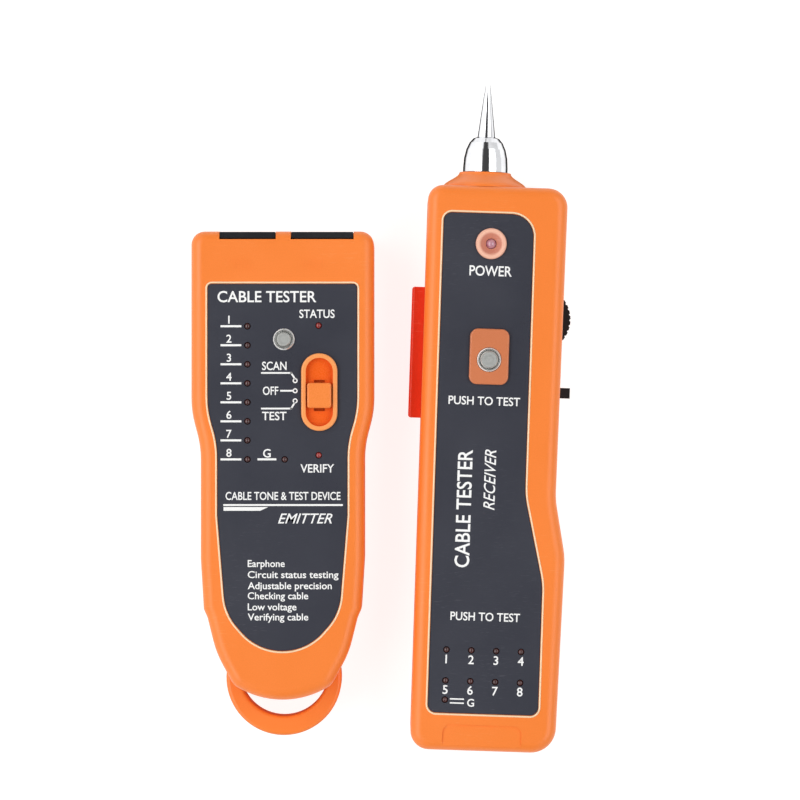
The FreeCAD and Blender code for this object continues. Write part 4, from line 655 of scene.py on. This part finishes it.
finish_nodes(plated("screw_steel", (0.62, 0.62, 0.63), (0.46, 0.46, 0.44), 0.28),
             "emitter_case_screws", "emitter_board_screws", "receiver_case_screws",
             "receiver_board_screws", "receiver_probe_nut", "receiver_probe_washer",
             "receiver_thumbwheel_screw")

# ---- Batteries ----------------------------------------------------------------------
# Steel-cased 9 V blocks in a printed sleeve, dark grey with a copper band at the studs.
# Each lies loose in a bay behind its sliding door.

band_start, band_edge = 17.2 * MM, 0.2 * MM
for device in ("emitter", "receiver"):
    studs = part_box(f"{device}_battery")[1].y
    material, tree, shader = new_material(f"{device}_battery_case")
    where = place(tree, "ShaderNodeTexCoord").outputs["Object"]
    level = place(tree, "ShaderNodeSeparateXYZ", {0: where}).outputs["Y"]
    band = remap(tree, level, studs - band_start, studs - band_start + band_edge)
    wear = noise(tree, where, 420.0, 3.0)
    feed(tree, shader,
         Base_Color=blend_colours(tree, band, (0.03, 0.032, 0.036, 1), (0.78, 0.38, 0.16, 1)),
         Metallic=remap(tree, band, 0, 1, 0.2, 0.9),
         Roughness=remap(tree, wear, 0.3, 0.7, 0.24, 0.4))
    finish_nodes(material, f"{device}_battery")

# ---- Floor, light and camera --------------------------------------------------------
# A pale glowing table under two long soft lights, in surroundings with a dark band overhead
# that puts a dark line down the chrome. The table is near black to close reflections only,
# which gives the chrome a dark outline.

table = bpy.data.meshes.new("table")
reach, table_level = 3.0, -0.2 * MM
table.from_pydata([(x, y, table_level) for x, y in (
    (-reach, -reach), (reach, -reach), (reach, reach), (-reach, reach))], [], [(0, 1, 2, 3)])
pale, tree, shader = new_material("pale_table")
shader.inputs["Base Color"].default_value = (0.3, 0.3, 0.3, 1)
shader.inputs["Roughness"].default_value = 0.8
shader.inputs["Specular IOR Level"].default_value = 0.1
shader.inputs["Emission Color"].default_value = (1, 1, 1, 1)
shader.inputs["Emission Strength"].default_value = 0.86
dark_until, plain_from = 23 * MM, 33 * MM
ray = place(tree, "ShaderNodeLightPath").outputs
close = remap(tree, ray["Ray Length"], dark_until, plain_from, 1.0, 0.0)
shadow = place(tree, "ShaderNodeEmission", {"Color": (0.02, 0.02, 0.02, 1)}).outputs[0]
table_top = place(tree, "ShaderNodeMixShader", {
    0: maths(tree, "MULTIPLY", ray["Is Glossy Ray"], close), 1: shader.outputs[0], 2: shadow,
}).outputs[0]
tree.links.new(table_top, tree.nodes["Material Output"].inputs["Surface"])
table.materials.append(pale)
new_piece("table", table)

view_middle = emitter_middle + Vector((35.0, 25.35, 0)) * MM
light_out, light_high, light_size = 0.78, 1.0, (1.5, 0.8)
for name, side, power in (("left_light", -1, 9.8), ("right_light", 1, 8.0)):
    lamp = bpy.data.lights.new(name, "AREA")
    lamp.shape, lamp.size, lamp.size_y = "RECTANGLE", *light_size
    lamp.energy = power
    holder = bpy.data.objects.new(name, lamp)
    bpy.context.scene.collection.objects.link(holder)
    holder.location = view_middle + Vector((side * light_out, 0, light_high))
    holder.rotation_euler = (view_middle - holder.location).to_track_quat("-Z", "Y").to_euler()
    holder.visible_camera = False

world = bpy.data.worlds.new("studio")
bpy.context.scene.world = world
world.use_nodes = True
tree = world.node_tree
backdrop = tree.nodes["Background"]
# A direction's share that points sideways, seen along Y, sets where the band overhead is.
toward = place(tree, "ShaderNodeSeparateXYZ", {
    0: place(tree, "ShaderNodeTexCoord").outputs["Generated"]}).outputs
sideways = maths(tree, "DIVIDE", maths(tree, "ABSOLUTE", toward["X"], 0.0), maths(
    tree, "SQRT", maths(tree, "ADD", maths(tree, "MULTIPLY", toward["X"], toward["X"]),
                       maths(tree, "MULTIPLY", toward["Z"], toward["Z"])), 0.0))
dark_band = remap(tree, sideways, 0.26, 0.42, 0.06, 1.0)
brighter_left = remap(tree, toward["X"], -0.6, 0.6, 1.0, 0.62)
surroundings = maths(tree, "MULTIPLY", dark_band, brighter_left)
ray = place(tree, "ShaderNodeLightPath").outputs
lit, mirrored = 0.62, 1.35
strength = maths(tree, "MULTIPLY", remap(tree, ray["Is Glossy Ray"], 0, 1, lit, mirrored),
                 surroundings)
tree.links.new(maths(tree, "MAXIMUM", strength, ray["Is Camera Ray"]), backdrop.inputs["Strength"])
backdrop.inputs["Color"].default_value = (1, 1, 1, 1)

view_wide, view_high = 240 * MM, 1.2
face_level = 20 * MM
camera = bpy.data.cameras.new("camera")
camera.sensor_width = 36
camera.lens = camera.sensor_width * (view_high - face_level) / view_wide
camera.clip_start, camera.clip_end = 0.01, 20
holder = bpy.data.objects.new("camera", camera)
bpy.context.scene.collection.objects.link(holder)
holder.location = view_middle + Vector((0, 0, view_high))
bpy.context.scene.camera = holder
bpy.context.scene.view_settings.view_transform = "Standard"
